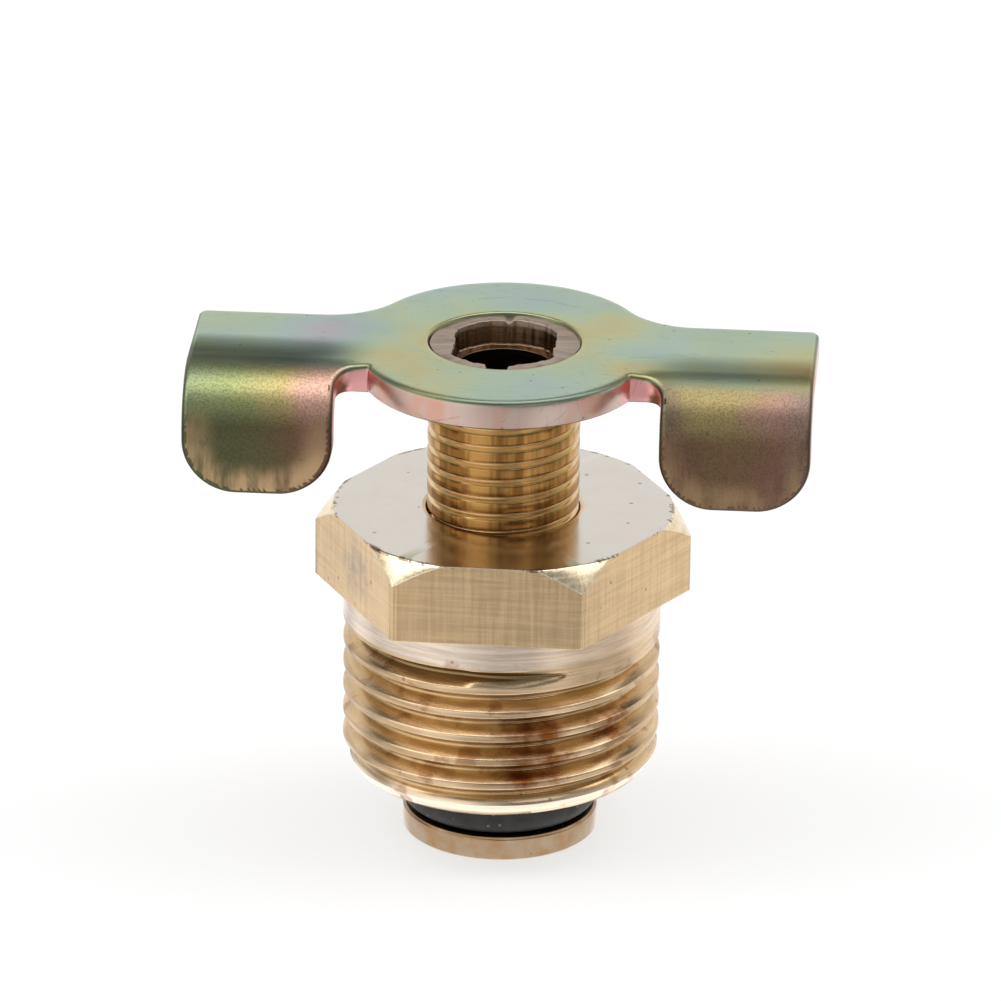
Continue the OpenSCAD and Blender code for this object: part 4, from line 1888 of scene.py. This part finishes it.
    def border(self, wing: Array) -> Array:
        """Nearness of the wing's points to the tab's three free edges, 1 at an edge and 0 a border away.

        Args:
            wing: Points of the wing's blank.

        Returns:
            One value for each point.
        """
        rim = np.concatenate([wing[0, self.border_from:], wing[1:self.border_to, -1]])
        apart = np.linalg.norm(wing[:, :, None] - rim[None, None], axis=-1).min(axis=-1)
        return np.clip(1.0 - apart / self.border_w, 0.0, 1.0)

    def add_band(self, sheets: SheetSet, flat: Array, section: Array) -> None:
        """Add a band of the edge.

        Args:
            sheets: The grids to add it to.
            flat: Its points on the blank, one row for each point of the section.
            section: Distance out, depth and mark of each point of the section.
        """
        depth, mark = (np.broadcast_to(section[:, column, None], flat.shape[:-1]) for column in (1, 2))
        sheets.add(self.bent(flat, depth), edge_mark=mark)

    def build(self) -> bpy.types.Object:
        """Build the handle from two faces, an edge band round the outline and a band in the hole.

        Returns:
            The undressed piece.
        """
        lines = self.outlines()
        half = np.concatenate([lines["front"], lines["cut"][1:], lines["back"][1:]])
        ring = np.concatenate([half, half[::-1][1:] * [-1, 1]])
        heads = np.arctan2(ring[:, 1], ring[:, 0])
        share = np.linspace(0.0, 1.0, self.centre_rows)[:, None, None]
        centre = self.hole(heads, self.flare) * (1 - share) + ring * share
        across = np.linspace(0.0, 1.0, self.wing_rows)[:, None, None]
        wing = lines["wing_front"] * (1 - across) + lines["wing_back"] * across
        border = self.border(wing)
        mirror = np.array([-1.0, 1.0])
        sheets = SheetSet(("edge_mark", "border_mark"))
        for depth in (0.0, PLATE_T):
            sheets.add(self.bent(centre, np.full(centre.shape[:-1], depth)))
            sheets.add(self.bent(wing, np.full(wing.shape[:-1], depth)), border_mark=border)
            sheets.add(self.bent(wing * mirror, np.full(wing.shape[:-1], depth)), border_mark=border)
        rim = np.concatenate([
            lines["front"], lines["wing_front"][1:], wing[1:, -1], lines["wing_back"][::-1][1:],
            lines["back"][1:],
        ])
        rim = np.concatenate([rim, rim[::-1][1:] * mirror])
        ahead = np.roll(rim[:-1], -1, axis=0) - np.roll(rim[:-1], 1, axis=0)
        ahead /= np.linalg.norm(ahead, axis=-1, keepdims=True)
        out = np.stack([ahead[:, 1], -ahead[:, 0]], axis=-1)
        out = np.concatenate([out, out[:1]])
        edge, thick = self.edge, PLATE_T
        band = np.array([
            [0.0, 0.0, 0.0], [0.45 * edge, 0.03, 0.3], [0.8 * edge, 0.12, 0.6], [edge, 0.3, 1.0],
            [edge, thick - 0.35, 1.0], [edge - 0.03, thick - 0.3, 1.0], [edge - 0.03, thick - 0.08, 1.0],
            [edge - 0.1, thick, 0.5], [0.0, thick, 0.0],
        ])
        self.add_band(sheets, rim[None] + out[None] * band[:, 0, None, None], band)
        flare = self.flare
        inner = np.array([
            [flare, 0.0, 0.0], [0.94 * flare, 0.03, 0.35], [0.8 * flare, 0.4 * flare, 0.5],
            [0.0, 1.2 * flare, 0.5], [0.0, thick - 0.1, 0.5], [0.1, thick, 0.3], [flare, thick, 0.0],
        ])
        self.add_band(sheets, np.stack([self.hole(heads, grow) for grow in inner[:, 0]]), inner)
        return sheets.piece("wing_handle_zinced")

    def make(self, groups: EffectGroups) -> bpy.types.Object:
        """Build, dress and place the handle.

        Args:
            groups: The shared effects.

        Returns:
            The piece.
        """
        piece = self.build()
        even_shading(piece)
        piece.data.materials.append(self.finish.material(groups, self.levels))
        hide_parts("wing_handle")
        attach(piece, Body.STEM.value)
        return piece


@dataclass
class Studio:
    """Camera, floor, lights and world."""

    aim: Triple = (0.0, 0.0, 14.0)
    azimuth: float = 5.188
    elevation: float = 22.645
    roll: float = -0.616
    distance: float = 500.0
    focal_px: float = 9619.19
    aim_px: tuple[float, float] = (502.303, 575.009)
    frame_px: float = 1001.0
    sensor: float = 36.0
    floor_side: float = 600.0
    floor_grey: float = 0.4
    floor_glow: float = 0.62
    # Brightness of the high sky, from the front horizon at 0 over the zenith at 0.5 to the back horizon at 1
    sky: Stops = (
        (0.0, 0.28), (0.36, 0.28), (0.41, 2.4), (0.58, 2.4), (0.63, 0.14), (0.785, 0.14), (0.835, 1.05),
        (1.0, 1.05),
    )
    sky_skew: float = 0.075
    sky_from: tuple[float, float] = (0.50, 0.60)
    side_light: float = 1.1
    side_from: tuple[float, float] = (0.80, 0.95)
    # Brightness of the low sky, by the direction from the axis: 0 left, 0.25 front, 0.5 right and 0.75 back
    ring: Stops = (
        (0.0, 0.6), (0.03, 1.1), (0.18, 1.1), (0.236, 0.6), (0.278, 0.2), (0.375, 0.2), (0.461, 0.4),
        (0.528, 0.9), (0.611, 1.0), (0.889, 1.0), (0.939, 0.5), (1.0, 0.6),
    )
    # A small bright strip low in front and to the right: its brightness, its heights and its directions
    strip: float = 1.4
    strip_z: tuple[float, float] = (0.44, 0.60)
    strip_turn: tuple[float, float] = (0.285, 0.40)
    # Brightness of the floor in reflections, by the same direction, and close to the valve
    mirror: Stops = (
        (0.0, 0.6), (0.05, 0.95), (0.167, 0.95), (0.21, 0.75), (0.25, 0.58), (0.32, 0.60), (0.36, 0.95),
        (0.417, 0.7), (0.50, 0.65), (0.55, 1.0), (0.60, 1.1), (0.85, 1.1), (0.90, 0.75), (0.945, 1.15),
        (1.0, 0.7),
    )
    near_floor: float = 1.35
    near_r: float = 13.0
    near_fade: float = 3.0
    clip: tuple[float, float] = (0.01, 20.0)

    def camera(self) -> bpy.types.Object:
        """Set the camera where the photograph was taken from.

        The camera looks along minus "back", and is moved sideways so that the aim point lands on its pixel.

        Returns:
            The camera object.
        """
        turn, tilt, roll = (math.radians(angle) for angle in (self.azimuth, self.elevation, self.roll))
        back = Vector((math.sin(turn) * math.cos(tilt), -math.cos(turn) * math.cos(tilt), math.sin(tilt)))
        level = Vector((math.cos(turn), math.sin(turn), 0.0))
        upright = back.cross(level)
        right = level * math.cos(roll) - upright * math.sin(roll)
        up = level * math.sin(roll) + upright * math.cos(roll)
        aside, below = ((pixel - self.frame_px / 2) / self.focal_px * self.distance for pixel in self.aim_px)
        place = Vector(self.aim) + back * self.distance - right * aside + up * below
        data = bpy.data.cameras.new("camera")
        data.sensor_width = self.sensor
        data.lens = self.sensor * self.focal_px / self.frame_px
        data.clip_start, data.clip_end = self.clip
        made = bpy.data.objects.new("camera", data)
        bpy.context.scene.collection.objects.link(made)
        axes = Matrix((right, up, back)).transposed().to_4x4()
        made.matrix_world = Matrix.Translation(place * METRES) @ axes
        bpy.context.scene.camera = made
        return made

    @staticmethod
    def grey(level: float) -> Colour:
        """Grey of an even level."""
        return (level, level, level, 1.0)

    def greys(self, stops: Stops, full: float) -> tuple[tuple[float, Colour], ...]:
        """Turn brightness stops into grey ramp stops, as shares of a full brightness."""
        return tuple((place, self.grey(level / full)) for place, level in stops)

    @staticmethod
    def around(nodes: NodeTree, x: Socket, y: Socket) -> Socket:
        """Share of a turn about the axis: 0 at the left, 0.25 in front, 0.5 at the right and 0.75 behind."""
        turn = nodes.math("ARCTAN2", nodes.product(y, -1.0), nodes.product(x, -1.0))
        return nodes.math("FRACT", nodes.total(nodes.math("DIVIDE", turn, 2 * math.pi), 1.0))

    def floor_material(self) -> bpy.types.Material:
        """Build the floor's material: white when seen, clear from below and uneven in reflections.

        Returns:
            The material.
        """
        material = bpy.data.materials.new("white_floor")
        material.use_nodes = True
        nodes = NodeTree(material.node_tree)
        path = nodes.node("ShaderNodeLightPath")
        seen = nodes.math("MAXIMUM", path.outputs["Is Camera Ray"], path.outputs["Is Transmission Ray"])
        matt = nodes.node("ShaderNodeBsdfDiffuse")
        nodes.plug(self.grey(self.floor_grey), matt.inputs["Color"])
        both = nodes.node("ShaderNodeAddShader")
        nodes.plug(matt.outputs[0], both.inputs[0])
        nodes.plug(nodes.emission(self.grey(1.0), nodes.product(seen, self.floor_glow)), both.inputs[1])
        x, y, _ = nodes.axes(nodes.place())
        full = max(level for _, level in self.mirror)
        shades = nodes.ramp(self.around(nodes, x, y), self.greys(self.mirror, full))
        close = nodes.under(nodes.radius(x, y), self.near_r, self.near_fade)
        mirrored = nodes.emission(nodes.blend(close, shades, self.grey(self.near_floor / full)), full)
        lit = nodes.mix_shader(path.outputs["Is Glossy Ray"], both.outputs[0], mirrored)
        below = nodes.product(nodes.node("ShaderNodeNewGeometry").outputs["Backfacing"],
                              path.outputs["Is Camera Ray"])
        clear = nodes.node("ShaderNodeBsdfTransparent").outputs[0]
        output = nodes.node("ShaderNodeOutputMaterial")
        nodes.plug(nodes.mix_shader(below, lit, clear), output.inputs["Surface"])
        return material

    def floor(self) -> bpy.types.Object:
        """Lay the floor, which keeps the object's shadow.

        It follows the body that carries the foot, so that the open valve stands on its foot too.

        Returns:
            The floor.
        """
        sheets = SheetSet()
        line = np.linspace(-self.floor_side, self.floor_side, 9)
        x, y = np.meshgrid(line, line)
        sheets.add(np.stack([x, y, np.zeros_like(x)], axis=-1))
        made = sheets.piece("floor")
        made.data.materials.append(self.floor_material())
        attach(made, Body.SEAL.value)
        return made

    def world(self) -> None:
        """Light the object from a tent: a bright strip overhead, a dark gap behind it and walls."""
        world = bpy.data.worlds.new("tent")
        world.use_nodes = True
        bpy.context.scene.world = world
        nodes = NodeTree(world.node_tree)
        x, y, z = nodes.axes(nodes.node("ShaderNodeTexCoord").outputs["Generated"])
        tilt = nodes.math("ARCTAN2", z, nodes.product(y, -1.0))
        share = nodes.total(nodes.math("DIVIDE", tilt, math.pi), nodes.product(x, -self.sky_skew))
        full = max(level for _, level in self.sky)
        sky = nodes.ramp(share, self.greys(self.sky, full))
        aside = nodes.span(nodes.math("ABSOLUTE", x), *self.side_from)
        sky = nodes.blend(aside, sky, self.grey(self.side_light / full))
        turn = self.around(nodes, x, y)
        walls = nodes.ramp(turn, self.greys(self.ring, full))
        light = nodes.blend(nodes.span(z, *self.sky_from), walls, sky)
        inside = nodes.product(*(
            nodes.math(test, value, bound)
            for value, bounds in ((z, self.strip_z), (turn, self.strip_turn))
            for test, bound in zip(("GREATER_THAN", "LESS_THAN"), bounds)))
        light = nodes.blend(inside, light, self.grey(self.strip / full))
        seen = nodes.node("ShaderNodeLightPath").outputs["Is Camera Ray"]
        glow = nodes.node("ShaderNodeBackground")
        nodes.plug(nodes.blend(seen, light, self.grey(1.0 / full)), glow.inputs["Color"])
        glow.inputs["Strength"].default_value = full
        output = nodes.node("ShaderNodeOutputWorld")
        nodes.plug(glow.outputs[0], output.inputs["Surface"])

    def set_up(self) -> None:
        """Make the whole studio."""
        self.camera()
        self.floor()
        self.world()
        bpy.context.scene.view_settings.view_transform = "Standard"


def main() -> None:
    """Build the studio and the four pieces, and report each."""
    logging.basicConfig(level=logging.INFO, format="%(name)s: %(message)s")
    Studio().set_up()
    levels = Levels.from_frame()
    groups = EffectGroups()
    for maker in (ValveBody(levels), ValveStem(levels), SeatRing(levels), WingHandle(levels)):
        piece = maker.make(groups)
        LOG.info("%s: %d points, %d faces", piece.name, len(piece.data.vertices), len(piece.data.polygons))


if __name__ == "__main__":
    main()
